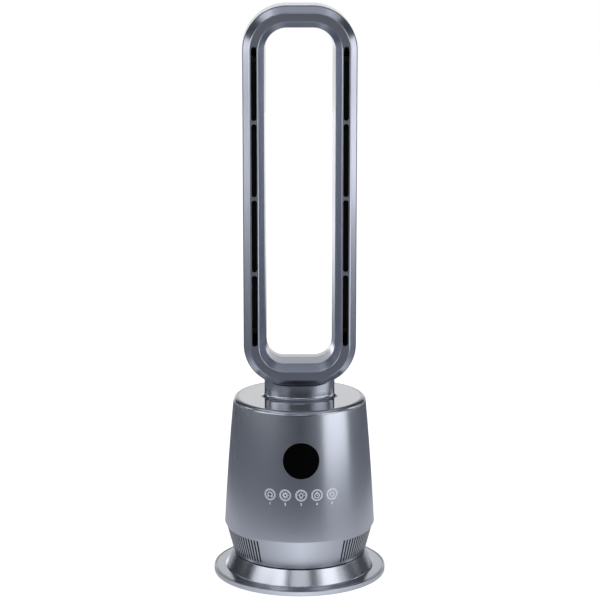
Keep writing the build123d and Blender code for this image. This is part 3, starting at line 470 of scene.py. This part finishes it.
grille_levels = [GRILLE_BOTTOM, GRILLE_BOTTOM + SLOT_MARGIN, GRILLE_TOP - SLOT_MARGIN, GRILLE_TOP]
grille_shape = bmesh.new()
level_points = []
for level in grille_levels:
    share = (level - GRILLE_BOTTOM) / (GRILLE_TOP - GRILLE_BOTTOM)
    across = GRILLE_BOTTOM_RADIUS + (GRILLE_TOP_RADIUS - GRILLE_BOTTOM_RADIUS) * share
    level_points.append(grille_shape.verts.new((0, -across, level)))
for low, high in zip(level_points, level_points[1:]):
    grille_shape.edges.new((low, high))
half_column = math.pi / GRILLE_COLUMNS
bmesh.ops.rotate(grille_shape, verts=grille_shape.verts, cent=(0, 0, 0),
                 matrix=Matrix.Rotation(-half_column, 3, "Z"))
bmesh.ops.spin(grille_shape, geom=grille_shape.verts[:] + grille_shape.edges[:], cent=(0, 0, 0),
               axis=(0, 0, 1), angle=FULL_TURN, steps=GRILLE_COLUMNS, use_merge=True)
bmesh.ops.remove_doubles(grille_shape, verts=grille_shape.verts, dist=WELD)
open_faces = []
for face in grille_shape.faces:
    centre = face.calc_center_median()
    turn = math.degrees(math.atan2(centre.x, -centre.y))
    column = round(turn / (360 / GRILLE_COLUMNS))
    if grille_levels[1] < centre.z < grille_levels[2] and column % 2 == 0 and abs(turn) > BLANK_HALF:
        open_faces.append(face)
bmesh.ops.delete(grille_shape, geom=open_faces, context="FACES")
thicken(grille_shape, GRILLE_WALL)
keep_piece("intake_grille_lacquered", grille_shape, satin_lacquer, "tower", "body_paint", "intake_grille")

# Main housing: the tall, slightly barrelled cone of the tower, lacquered ABS. Its lower edge is a
# crisp lip over the grille, and the round display window is let into its front.
HOUSING_BOTTOM = 89.5
HOUSING_TOP = 305.2
HOUSING_BOTTOM_RADIUS = 129.2
HOUSING_TOP_RADIUS = 113.6
HOUSING_BULGE = 1.1
HOUSING_WALL = 2.8
HOUSING_FLANGE = 14.0
FLANGE_THICK = 2.5
LOWER_EDGE_ROUND = 0.7
HOUSING_ROWS = 12


def housing_radius(height):
    """The housing's outer radius at a height, barrel included."""
    share = (height - HOUSING_BOTTOM) / (HOUSING_TOP - HOUSING_BOTTOM)
    straight = HOUSING_BOTTOM_RADIUS + (HOUSING_TOP_RADIUS - HOUSING_BOTTOM_RADIUS) * share
    return straight + HOUSING_BULGE * 4 * share * (1 - share)


housing_corners = []
for row in range(HOUSING_ROWS + 1):
    row_height = HOUSING_BOTTOM + (HOUSING_TOP - HOUSING_BOTTOM) * row / HOUSING_ROWS
    housing_corners.append((housing_radius(row_height), row_height, 0 if row else LOWER_EDGE_ROUND))
housing_corners += [
    (HOUSING_TOP_RADIUS - HOUSING_WALL, HOUSING_TOP, 0),
    (HOUSING_BOTTOM_RADIUS - HOUSING_WALL, HOUSING_BOTTOM + FLANGE_THICK, 0),
    (HOUSING_BOTTOM_RADIUS - HOUSING_FLANGE, HOUSING_BOTTOM + FLANGE_THICK, 0),
    (HOUSING_BOTTOM_RADIUS - HOUSING_FLANGE, HOUSING_BOTTOM, 0),
]
WINDOW_RADIUS = 31.0
WINDOW_HEIGHT = 230.0
WINDOW_CUT = 50
WINDOW_STEPS = 128
housing_lean = math.atan2(HOUSING_BOTTOM_RADIUS - HOUSING_TOP_RADIUS, HOUSING_TOP - HOUSING_BOTTOM)
window_place = (Matrix.Translation((0, -housing_radius(WINDOW_HEIGHT), WINDOW_HEIGHT))
                @ Matrix.Rotation(math.pi / 2 - housing_lean, 4, "X"))
window_hole = bmesh.new()
add_cylinder(window_hole, WINDOW_RADIUS, WINDOW_CUT, window_place, WINDOW_STEPS)
housing_shape = cut_out(spun(housing_corners), window_hole)
keep_piece("housing_lacquered", housing_shape, satin_lacquer, "tower", "body_paint", "main_housing")

# Display window: a black glossy disc that follows the housing's curve, with a bright ring round it
# that stands a hair proud of the lacquer.
WINDOW_RINGS = 14
GLASS_GAP = 0.1
GLASS_THICK = 2.2
BEZEL_STEPS = 160
BEZEL_WIDTH = 0.8
BEZEL_PROUD = 0.12
BEZEL_EASE = 0.05
BEZEL_SUNK = 0.5


def on_housing(shape, raised):
    """Wraps a flat drawing, across in x and up in z, round the front of the housing."""
    for point in shape.verts:
        across = housing_radius(point.co.z) + raised
        turn = point.co.x / across
        point.co = (across * math.sin(turn), -across * math.cos(turn) + point.co.y, point.co.z)


def round_window(shape, steps):
    """Spins a profile round the window's centre and lays it on the housing."""
    bmesh.ops.spin(shape, geom=shape.verts[:] + shape.edges[:], cent=(0, 0, WINDOW_HEIGHT), axis=(0, 1, 0),
                   angle=FULL_TURN, steps=steps, use_merge=True)
    bmesh.ops.remove_doubles(shape, verts=shape.verts, dist=WELD)
    on_housing(shape, 0.0)


window_shape = bmesh.new()
window_start = window_shape.verts.new((0, 0, WINDOW_HEIGHT))
for ring_number in range(1, WINDOW_RINGS + 1):
    ring_across = (WINDOW_RADIUS - GLASS_GAP) * ring_number / WINDOW_RINGS
    window_end = window_shape.verts.new((ring_across, 0, WINDOW_HEIGHT))
    window_shape.edges.new((window_start, window_end))
    window_start = window_end
round_window(window_shape, WINDOW_STEPS)
thicken(window_shape, GLASS_THICK)
black_glass = moulded("black_display_glass", "020203", 0.12, 2.0, 0.0, 0.0, 0.02)
black_glass.node_tree.nodes["Principled BSDF"].inputs["Specular IOR Level"].default_value = 0.12
keep_piece("display_glass", window_shape, black_glass, "tower", "window_tint", "display_window")

bezel_shape = bmesh.new()
close_outline(bezel_shape, [bezel_shape.verts.new((across, depth, WINDOW_HEIGHT)) for across, depth in (
    (WINDOW_RADIUS, BEZEL_SUNK), (WINDOW_RADIUS + BEZEL_EASE, -BEZEL_PROUD),
    (WINDOW_RADIUS + BEZEL_WIDTH, -BEZEL_PROUD), (WINDOW_RADIUS + BEZEL_WIDTH, BEZEL_SUNK))])
round_window(bezel_shape, BEZEL_STEPS)
bright_edge = moulded("polished_bezel", "d9dade", 0.18, 2.0, 0.0, 1.0, 0.02)
keep_piece("display_bezel", bezel_shape, bright_edge, "tower", "body_gloss")

# Touch keys: five ringed symbols screen-printed in pale ink below the display, a swing arrow, a sun,
# a lamp with rays, a clock and a power sign, with a plain number under each.
KEY_HEIGHT = 171.5
KEY_ANGLES = (-24.8, -12.4, 0.0, 12.4, 24.8)
KEY_RING = 10.1
KEY_DROP = 1.1          # how much lower the outermost keys sit
KEY_RINGS = ((0.3, 0.5), (1.9, 0.9))        # (inset from KEY_RING, width) of the two printed rings
CAPTION_BELOW = 15.4
CAPTION_SIZE = 6.2
CAPTION_BOLDNESS = 0.12
INK_RAISE = 0.06
# How strongly the printed ink glows: painted light on the print.
PAINTED_INK_GLOW = 0.45


def arc_band(shape, centre, radius, width, start, sweep, steps=40):
    """A printed arc: angles in degrees, counted anticlockwise from the right."""
    turn = math.radians(start)
    low = shape.verts.new((centre[0] + (radius - width / 2) * math.cos(turn), 0,
                           centre[1] + (radius - width / 2) * math.sin(turn)))
    high = shape.verts.new((centre[0] + (radius + width / 2) * math.cos(turn), 0,
                            centre[1] + (radius + width / 2) * math.sin(turn)))
    edge = shape.edges.new((low, high))
    bmesh.ops.spin(shape, geom=[low, high, edge], cent=(centre[0], 0, centre[1]), axis=(0, -1, 0),
                   angle=math.radians(sweep), steps=max(2, int(steps * abs(sweep) / 360)))


def bar(shape, centre, length, width, angle):
    """A printed straight line at an angle, in degrees."""
    place = (Matrix.Translation((centre[0], 0, centre[1])) @ Matrix.Rotation(-math.radians(angle), 4, "Y")
             @ Matrix.Diagonal((length / 2, 1, width / 2, 1)) @ Matrix.Rotation(math.pi / 2, 4, "X"))
    bmesh.ops.create_grid(shape, x_segments=4, y_segments=1, size=1, matrix=place)


def draw_swing(shape, x, z):
    """An open ring with an arrow head at each end."""
    arc_band(shape, (x, z), 4.1, 1.0, -50, 280)
    for side in (-1, 1):
        bar(shape, (x + side * 3.2, z - 3.4), 3.0, 1.0, 0)
        bar(shape, (x + side * 2.0, z - 2.6), 2.4, 1.0, 90)


def draw_sun(shape, x, z):
    """A disc outline with eight short rays."""
    arc_band(shape, (x, z), 2.9, 1.3, 0, 360)
    for n in range(8):
        turn = math.radians(45 * n)
        bar(shape, (x + 5.0 * math.cos(turn), z + 5.0 * math.sin(turn)), 1.6, 1.1, 45 * n)


def draw_lamp(shape, x, z):
    """A bulb with a cap and five rays."""
    arc_band(shape, (x, z + 0.4), 3.0, 0.9, -55, 290)
    for side in (-1, 1):
        bar(shape, (x + side * 1.5, z - 3.0), 2.2, 0.9, 90)
    bar(shape, (x, z - 4.4), 3.6, 1.0, 0)
    for turn in (0, 45, 90, 135, 180):
        angle = math.radians(turn)
        bar(shape, (x + 5.6 * math.cos(angle), z + 0.4 + 5.6 * math.sin(angle)), 1.6, 0.8, turn)


def draw_clock(shape, x, z):
    """A stopwatch: a ring with a crown and a hand."""
    arc_band(shape, (x, z - 0.5), 4.1, 1.0, 0, 360)
    bar(shape, (x, z + 4.6), 2.8, 1.0, 0)
    bar(shape, (x, z + 0.8), 2.6, 0.9, 90)
    bar(shape, (x + 0.9, z - 0.5), 2.0, 0.9, 0)


def draw_power(shape, x, z):
    """A broken ring with an upright bar."""
    arc_band(shape, (x, z), 3.9, 1.0, 125, 290)
    bar(shape, (x, z + 2.6), 4.2, 1.0, 90)


# The pale ink is real print; its emission is painted light that makes the print read brighter than the lamps
# alone make it.
glowing_white_ink = moulded("pale_screen_ink_painted_glow", "f4f6fa", 0.5, 0.3, 0.05, 0.0, 0.04)
ink_shader = glowing_white_ink.node_tree.nodes["Principled BSDF"]
ink_shader.inputs["Emission Color"].default_value = from_hex("e6ebf4")
ink_shader.inputs["Emission Strength"].default_value = PAINTED_INK_GLOW
KEY_SIGNS = (draw_swing, draw_sun, draw_lamp, draw_clock, draw_power)
for number, (angle, draw) in enumerate(zip(KEY_ANGLES, KEY_SIGNS), 1):
    key_shape = bmesh.new()
    key_x = math.radians(angle) * housing_radius(KEY_HEIGHT)
    key_z = KEY_HEIGHT - KEY_DROP * (angle / KEY_ANGLES[-1]) ** 2
    for inset, line_width in KEY_RINGS:
        arc_band(key_shape, (key_x, key_z), KEY_RING - inset, line_width, 0, 360, 72)
    draw(key_shape, key_x, key_z)
    caption = bpy.data.curves.new("caption", "FONT")
    caption.body = str(number)
    caption.size = CAPTION_SIZE
    caption.offset = CAPTION_BOLDNESS
    caption.align_x = "CENTER"
    caption.align_y = "CENTER"
    holder = bpy.data.objects.new("caption", caption)
    bpy.context.collection.objects.link(holder)
    bpy.context.view_layer.update()
    letter_mesh = bpy.data.meshes.new_from_object(
        holder.evaluated_get(bpy.context.evaluated_depsgraph_get()))
    letters = bmesh.new()
    letters.from_mesh(letter_mesh)
    bpy.data.objects.remove(holder, do_unlink=True)
    letter_place = (Matrix.Translation((key_x, 0, key_z - CAPTION_BELOW))
                    @ Matrix.Rotation(math.pi / 2, 4, "X"))
    bmesh.ops.transform(letters, verts=letters.verts, matrix=letter_place)
    letters.to_mesh(letter_mesh)
    letters.free()
    key_shape.from_mesh(letter_mesh)
    bmesh.ops.remove_doubles(key_shape, verts=key_shape.verts, dist=2 * WELD)
    on_housing(key_shape, INK_RAISE)
    keep_piece(f"touch_key_{number}", key_shape, glowing_white_ink, "tower", "body_paint")

# Top cover: the rounded shoulder that closes the housing, lacquered like it, with a step inside that
# the top disc lies in.
COVER_TOP = 312.4
COVER_FLAT = 105.6
DISC_THICK = 3.0
DISC_GAP = 0.35
DISC_LEDGE = 8.0
LEDGE_THICK = 2.6
SPIGOT_OUTER = 110.5
SPIGOT_INNER = 107.9
SPIGOT_DEPTH = 6.0
SHOULDER_STEPS = 8
shoulder = []
for step in range(SHOULDER_STEPS + 1):
    turn = math.pi / 2 * step / SHOULDER_STEPS
    shoulder.append((COVER_FLAT + (HOUSING_TOP_RADIUS - COVER_FLAT) * math.cos(turn),
                     HOUSING_TOP + (COVER_TOP - HOUSING_TOP) * math.sin(turn), 0))
cover_top_shape = spun(shoulder + [
    (COVER_FLAT, COVER_TOP - DISC_THICK, 0), (COVER_FLAT - DISC_LEDGE, COVER_TOP - DISC_THICK, 0),
    (COVER_FLAT - DISC_LEDGE, COVER_TOP - DISC_THICK - LEDGE_THICK, 0),
    (SPIGOT_INNER, COVER_TOP - DISC_THICK - LEDGE_THICK, 0), (SPIGOT_INNER, HOUSING_TOP - SPIGOT_DEPTH, 0),
    (SPIGOT_OUTER, HOUSING_TOP - SPIGOT_DEPTH, 0), (SPIGOT_OUTER, HOUSING_TOP, 0),
])
keep_piece("shoulder_lacquered", cover_top_shape, satin_lacquer, "tower", "body_paint", "top_cover")

# Top disc: a flat plate polished to a mirror, with a hair of a gap to the shoulder round it.
disc_shape = spun([
    (1, COVER_TOP - DISC_THICK, 0), (COVER_FLAT - DISC_GAP, COVER_TOP - DISC_THICK, 0),
    (COVER_FLAT - DISC_GAP, COVER_TOP, 0.4), (1, COVER_TOP, 0),
])
mirror_lacquer = lacquer("mirror_silver_blue_lacquer", "a8aab0", 0.08, 0.03, 0.004, 0.02)
keep_piece("top_disc_polished", disc_shape, mirror_lacquer, "tower", "body_gloss", "top_disc")

# Neck: an oval lacquered sleeve with a flared foot. Its top edge is cut to follow the underside of
# the loop, a hair below it.
NECK_HALF_WIDTH = 60.0
NECK_HALF_DEPTH = 38.0
NECK_FLARE = 6.5
FLARE_LIFT = 0.15
FLARE_STEPS = 8
NECK_TOP = 337.0
NECK_WALL = 3.0
LOOP_HALF_WIDTH = 95.2
LOOP_BOTTOM = 338.6
LOOP_TOP = 980.0
BOTTOM_CORNER = 70.0
TOP_CORNER = 74.0
NECK_STEPS = 160


def extruded(shape, ring):
    """Extrudes a chain of edges in place and gives its new points and edges."""
    grown = bmesh.ops.extrude_edge_only(shape, edges=ring)["geom"]
    points = [item for item in grown if isinstance(item, bmesh.types.BMVert)]
    edges = [item for item in grown if isinstance(item, bmesh.types.BMEdge)
             and all(end in points for end in item.verts)]
    return points, edges


neck_shape = bmesh.new()
bmesh.ops.create_circle(neck_shape, segments=NECK_STEPS, radius=1)
bmesh.ops.scale(neck_shape, vec=(NECK_HALF_WIDTH + NECK_FLARE, NECK_HALF_DEPTH + NECK_FLARE, 1),
                verts=neck_shape.verts)
bmesh.ops.translate(neck_shape, vec=(0, 0, COVER_TOP), verts=neck_shape.verts)
flare_levels = []
for step in range(FLARE_STEPS + 1):
    turn = math.pi / 2 * step / FLARE_STEPS
    flare_rise = FLARE_LIFT + NECK_FLARE * (1 - math.cos(turn))
    flare_levels.append((NECK_FLARE * (1 - math.sin(turn)), flare_rise))
flare_levels += [(0, NECK_TOP - COVER_TOP - NECK_FLARE), (0, NECK_TOP - COVER_TOP)]
ring = neck_shape.edges[:]
reach = NECK_FLARE
for outward, rise in flare_levels:
    points, ring = extruded(neck_shape, ring)
    bmesh.ops.scale(neck_shape, verts=points, vec=(
        (NECK_HALF_WIDTH + outward) / (NECK_HALF_WIDTH + reach),
        (NECK_HALF_DEPTH + outward) / (NECK_HALF_DEPTH + reach), 1))
    bmesh.ops.translate(neck_shape, verts=points, vec=(0, 0, COVER_TOP + rise - points[0].co.z))
    reach = outward
saddle_radius = BOTTOM_CORNER + LOOP_BOTTOM - NECK_TOP
saddle_start = LOOP_HALF_WIDTH - BOTTOM_CORNER
for point in points:
    past = max(0, abs(point.co.x) - saddle_start)
    point.co.z = LOOP_BOTTOM + BOTTOM_CORNER - math.sqrt(saddle_radius ** 2 - past ** 2)
thicken(neck_shape, NECK_WALL)
neck_lacquer = lacquer("neck_silver_blue_lacquer", "a9aebb", 0.26, 0.12)
keep_piece("neck_lacquered", neck_shape, neck_lacquer, "tower", "body_paint", "neck_collar")

# Loop, front frame: one lacquered moulding with an outer bevel, a flat face that holds the outlet
# slots, an inner bevel and the wall round the opening. The flat is left bare at its top.
LOOP_FRONT = -43.5
EDGE_STEP = 1.4
BEVEL_OUTER = LOOP_HALF_WIDTH - EDGE_STEP
SKIRT_OUTER = 92.3
FLAT_OUTER = 83.9
FLAT_INNER = 69.4
OPENING = 58.8
BEVEL_BACK = -30.9
SKIRT_DEPTH = 7.0
SKIRT_FLOOR = 0.8
WALL_FRONT = -29.0
WALL_BACK = 6.0
LIP_WIDTH = 56.4
LOOP_WALL = 2.6
CORNER_STEPS = 40


def swept_loop(corners):
    """A section of (across, depth, rounding) corners carried round the loop's upright outline."""
    shape, mark = corner_shape(corners)
    top_centre = (LOOP_HALF_WIDTH - TOP_CORNER, 0, LOOP_TOP - TOP_CORNER)
    low_centre = (LOOP_HALF_WIDTH - BOTTOM_CORNER, 0, LOOP_BOTTOM + BOTTOM_CORNER)
    middle = (LOOP_TOP + LOOP_BOTTOM) / 2
    bmesh.ops.translate(shape, verts=shape.verts, vec=(0, 0, middle))
    ring = shape.edges[:]

    def run(ring, along):
        points, ring = extruded(shape, ring)
        bmesh.ops.translate(shape, verts=points, vec=along)
        return ring

    def bend(ring, centre):
        points = list({end for edge in ring for end in edge.verts})
        last = bmesh.ops.spin(shape, geom=points + ring, cent=centre, axis=(0, -1, 0),
                              angle=math.pi / 2, steps=CORNER_STEPS)["geom_last"]
        return [item for item in last if isinstance(item, bmesh.types.BMEdge)]

    ring = run(ring, (0, 0, top_centre[2] - middle))
    ring = bend(ring, top_centre)
    ring = run(ring, (-2 * top_centre[0], 0, 0))
    ring = bend(ring, (-top_centre[0], 0, top_centre[2]))
    ring = run(ring, (0, 0, low_centre[2] - top_centre[2]))
    ring = bend(ring, (-low_centre[0], 0, low_centre[2]))
    ring = run(ring, (2 * low_centre[0], 0, 0))
    ring = bend(ring, low_centre)
    ring = run(ring, (0, 0, middle - low_centre[2]))
    bmesh.ops.remove_doubles(shape, verts=shape.verts, dist=10 * WELD)
    round_corners(shape, mark, corners)
    return shape


# (distance from the middle plane, depth, rounding), seen from above
front_corners = [
    (SKIRT_OUTER, BEVEL_BACK + SKIRT_DEPTH, 0), (SKIRT_OUTER, BEVEL_BACK, 0), (BEVEL_OUTER, BEVEL_BACK, 0.5),
    (FLAT_OUTER, LOOP_FRONT, 1.2), (FLAT_INNER, LOOP_FRONT, 1.0), (OPENING, WALL_FRONT, 1.2),
    (LIP_WIDTH, WALL_BACK, 0.3), (LIP_WIDTH + LOOP_WALL, WALL_BACK, 0),
    (OPENING + LOOP_WALL, WALL_FRONT + LOOP_WALL / 2, 0),
    (FLAT_INNER + LOOP_WALL / 2, LOOP_FRONT + LOOP_WALL, 0),
    (FLAT_OUTER - LOOP_WALL / 2, LOOP_FRONT + LOOP_WALL, 0),
    (SKIRT_OUTER - LOOP_WALL, BEVEL_BACK + SKIRT_FLOOR, 0),
    (SKIRT_OUTER - LOOP_WALL, BEVEL_BACK + SKIRT_DEPTH, 0),
]
SLOT_WIDTH = 9.4
SLOT_LENGTH = 122.1
SLOT_STEP = 127.5
SLOT_TOP = 913.4
SLOT_MIDDLE = 76.25
SLOT_COUNT = 4
SLOT_CUT = 14
SLOT_EDGE_ROUND = 0.5
HAIR_TURN = 1e-4        # keeps the cutter's corners off its own middle height
slot_place = Matrix.Rotation(math.pi / 2 + HAIR_TURN, 4, "X")
slot_cutter = bmesh.new()
for side in (-1, 1):
    for number in range(SLOT_COUNT):
        centre = SLOT_TOP - SLOT_LENGTH / 2 - SLOT_STEP * number
        made = add_cylinder(slot_cutter, SLOT_WIDTH / 2, SLOT_CUT, slot_place)
        for half in (-1, 1):
            ends = [point for point in made if point.co.z * half > 0]
            bmesh.ops.translate(slot_cutter, verts=ends, vec=(0, 0, half * (SLOT_LENGTH - SLOT_WIDTH) / 2))
        bmesh.ops.translate(slot_cutter, verts=made, vec=(side * SLOT_MIDDLE, LOOP_FRONT, centre))
front_shape = cut_out(swept_loop(front_corners), slot_cutter)
slot_edges = [edge for edge in front_shape.edges
              if all(abs(end.co.y - LOOP_FRONT) < 0.01 for end in edge.verts)
              and abs(abs(edge.verts[0].co.x) - SLOT_MIDDLE) < SLOT_WIDTH / 2 + 0.1
              and len(edge.link_faces) == 2 and edge.calc_face_angle() > 1]
bmesh.ops.bevel(front_shape, geom=slot_edges, offset=SLOT_EDGE_ROUND, segments=2, profile=0.5,
                affect="EDGES", material=-1)
# The loops wear the housing's paint, with a lighter base colour as painted light where the lamps leave the
# loop too dark.
loop_lacquer_painted_lighter = lacquer("loop_silver_blue_lacquer_painted_lighter", "b4b9c7", 0.28, 0.12)
keep_piece("loop_front_lacquered", front_shape, loop_lacquer_painted_lighter, "tower", "body_paint", "loop_front_frame")

# Loop, rear shell: the outer wall, the rounded back and the inner lip in one moulding, with the oval
# stub that goes down into the neck.
LOOP_BACK = 40.0
REAR_ROUND = 13.0
LIP_EDGE = 55.5
SHELL_STEP = 1.4
LIP_STEP = 0.8
STUB_HALF_WIDTH = 53.0
STUB_HALF_DEPTH = 27.0
STUB_OVERLAP = 2.0
rear_corners = [
    (LOOP_HALF_WIDTH - LOOP_WALL, BEVEL_BACK + SHELL_STEP, 0),
    (LOOP_HALF_WIDTH, BEVEL_BACK + SHELL_STEP, 0.5),
    (LOOP_HALF_WIDTH, LOOP_BACK, REAR_ROUND), (LIP_EDGE, LOOP_BACK, REAR_ROUND),
    (LIP_WIDTH, WALL_BACK + LIP_STEP, 0.3), (LIP_WIDTH + LOOP_WALL, WALL_BACK + LIP_STEP, 0),
    (LIP_EDGE + LOOP_WALL, LOOP_BACK - LOOP_WALL, REAR_ROUND - LOOP_WALL),
    (LOOP_HALF_WIDTH - LOOP_WALL, LOOP_BACK - LOOP_WALL, REAR_ROUND - LOOP_WALL),
]
rear_shape = swept_loop(rear_corners)
stub_low = NECK_TOP - NECK_WALL
stub_high = LOOP_BOTTOM + STUB_OVERLAP
stub_place = (Matrix.Translation((0, 0, (stub_low + stub_high) / 2))
              @ Matrix.Diagonal((STUB_HALF_WIDTH, STUB_HALF_DEPTH, 1, 1)))
add_cylinder(rear_shape, 1, stub_high - stub_low, stub_place, 96)
keep_piece("loop_rear_lacquered", rear_shape, loop_lacquer_painted_lighter, "tower", "body_paint", "loop_rear_shell")

# Everything else keeps its own solid and gets its real finish.
zinc_steel = moulded("zinc_plated_steel", "8f9193", 0.42, 1.2, 0.1, 1.0)
bright_steel = moulded("ground_steel", "b9bbbd", 0.22, 0.4, 0.05, 1.0)
cream_plastic = moulded("terminal_moulding", "d9d6cb", 0.55, 0.5)
green_board = moulded("green_board_lacquer", "14532d", 0.35, 0.8, 0.1)
slippery_white = moulded("white_acetal", "dcdbd6", 0.38, 0.5)
charcoal_plastic = moulded("charcoal_moulding", "4b4d51", 0.6, 0.4, 0.25)
mesh_black = moulded("dust_mesh", "101012", 0.8, 0.9, 0.6)
# A black heat-proof moulding, painted near-pure black as painted shade for the dark inside of the outlet
# slots. The display module uses it too.
black_moulding_as_painted_shade = moulded("heatproof_black_painted_shade", "060607", 0.7, 0.5, 0.2)
# The aluminium fins are painted near-black as painted shade, so they stay dark behind the outlet slots.
fin_aluminium_painted_shade = moulded("fins_painted_black_as_shade", "0a0a0b", 0.7, 0.6, 0.1)
mica_board = moulded("mica_board", "3a3529", 0.7, 0.8, 0.3)
NODE_FINISHES = {
    "rubber_feet": black_rubber, "ballast_plate": zinc_steel, "mains_terminal": cream_plastic,
    "glide_ring": slippery_white, "swing_gear": slippery_white, "swing_pinion": slippery_white,
    "swivel_plate": charcoal_plastic, "swing_motor": zinc_steel, "swing_motor_shaft": bright_steel,
    "intake_screen": mesh_black, "display_module": black_moulding_as_painted_shade, "touch_board": green_board,
    "inlet_bell": charcoal_plastic, "blower_casing": charcoal_plastic, "impeller": charcoal_plastic,
    "diffuser": charcoal_plastic, "fan_motor": zinc_steel, "fan_shaft": bright_steel,
    "motor_nose": charcoal_plastic, "air_duct": charcoal_plastic, "power_board": green_board,
    "outlet_nozzle_left": black_moulding_as_painted_shade, "outlet_nozzle_right": black_moulding_as_painted_shade,
    "heater_left": fin_aluminium_painted_shade, "heater_right": fin_aluminium_painted_shade, "heater_brackets": mica_board,
}
for node_name, finish in NODE_FINISHES.items():
    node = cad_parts[node_name]
    for place in node.material_slots:
        place.material = finish
    if not node.material_slots:
        node.data.materials.append(finish)
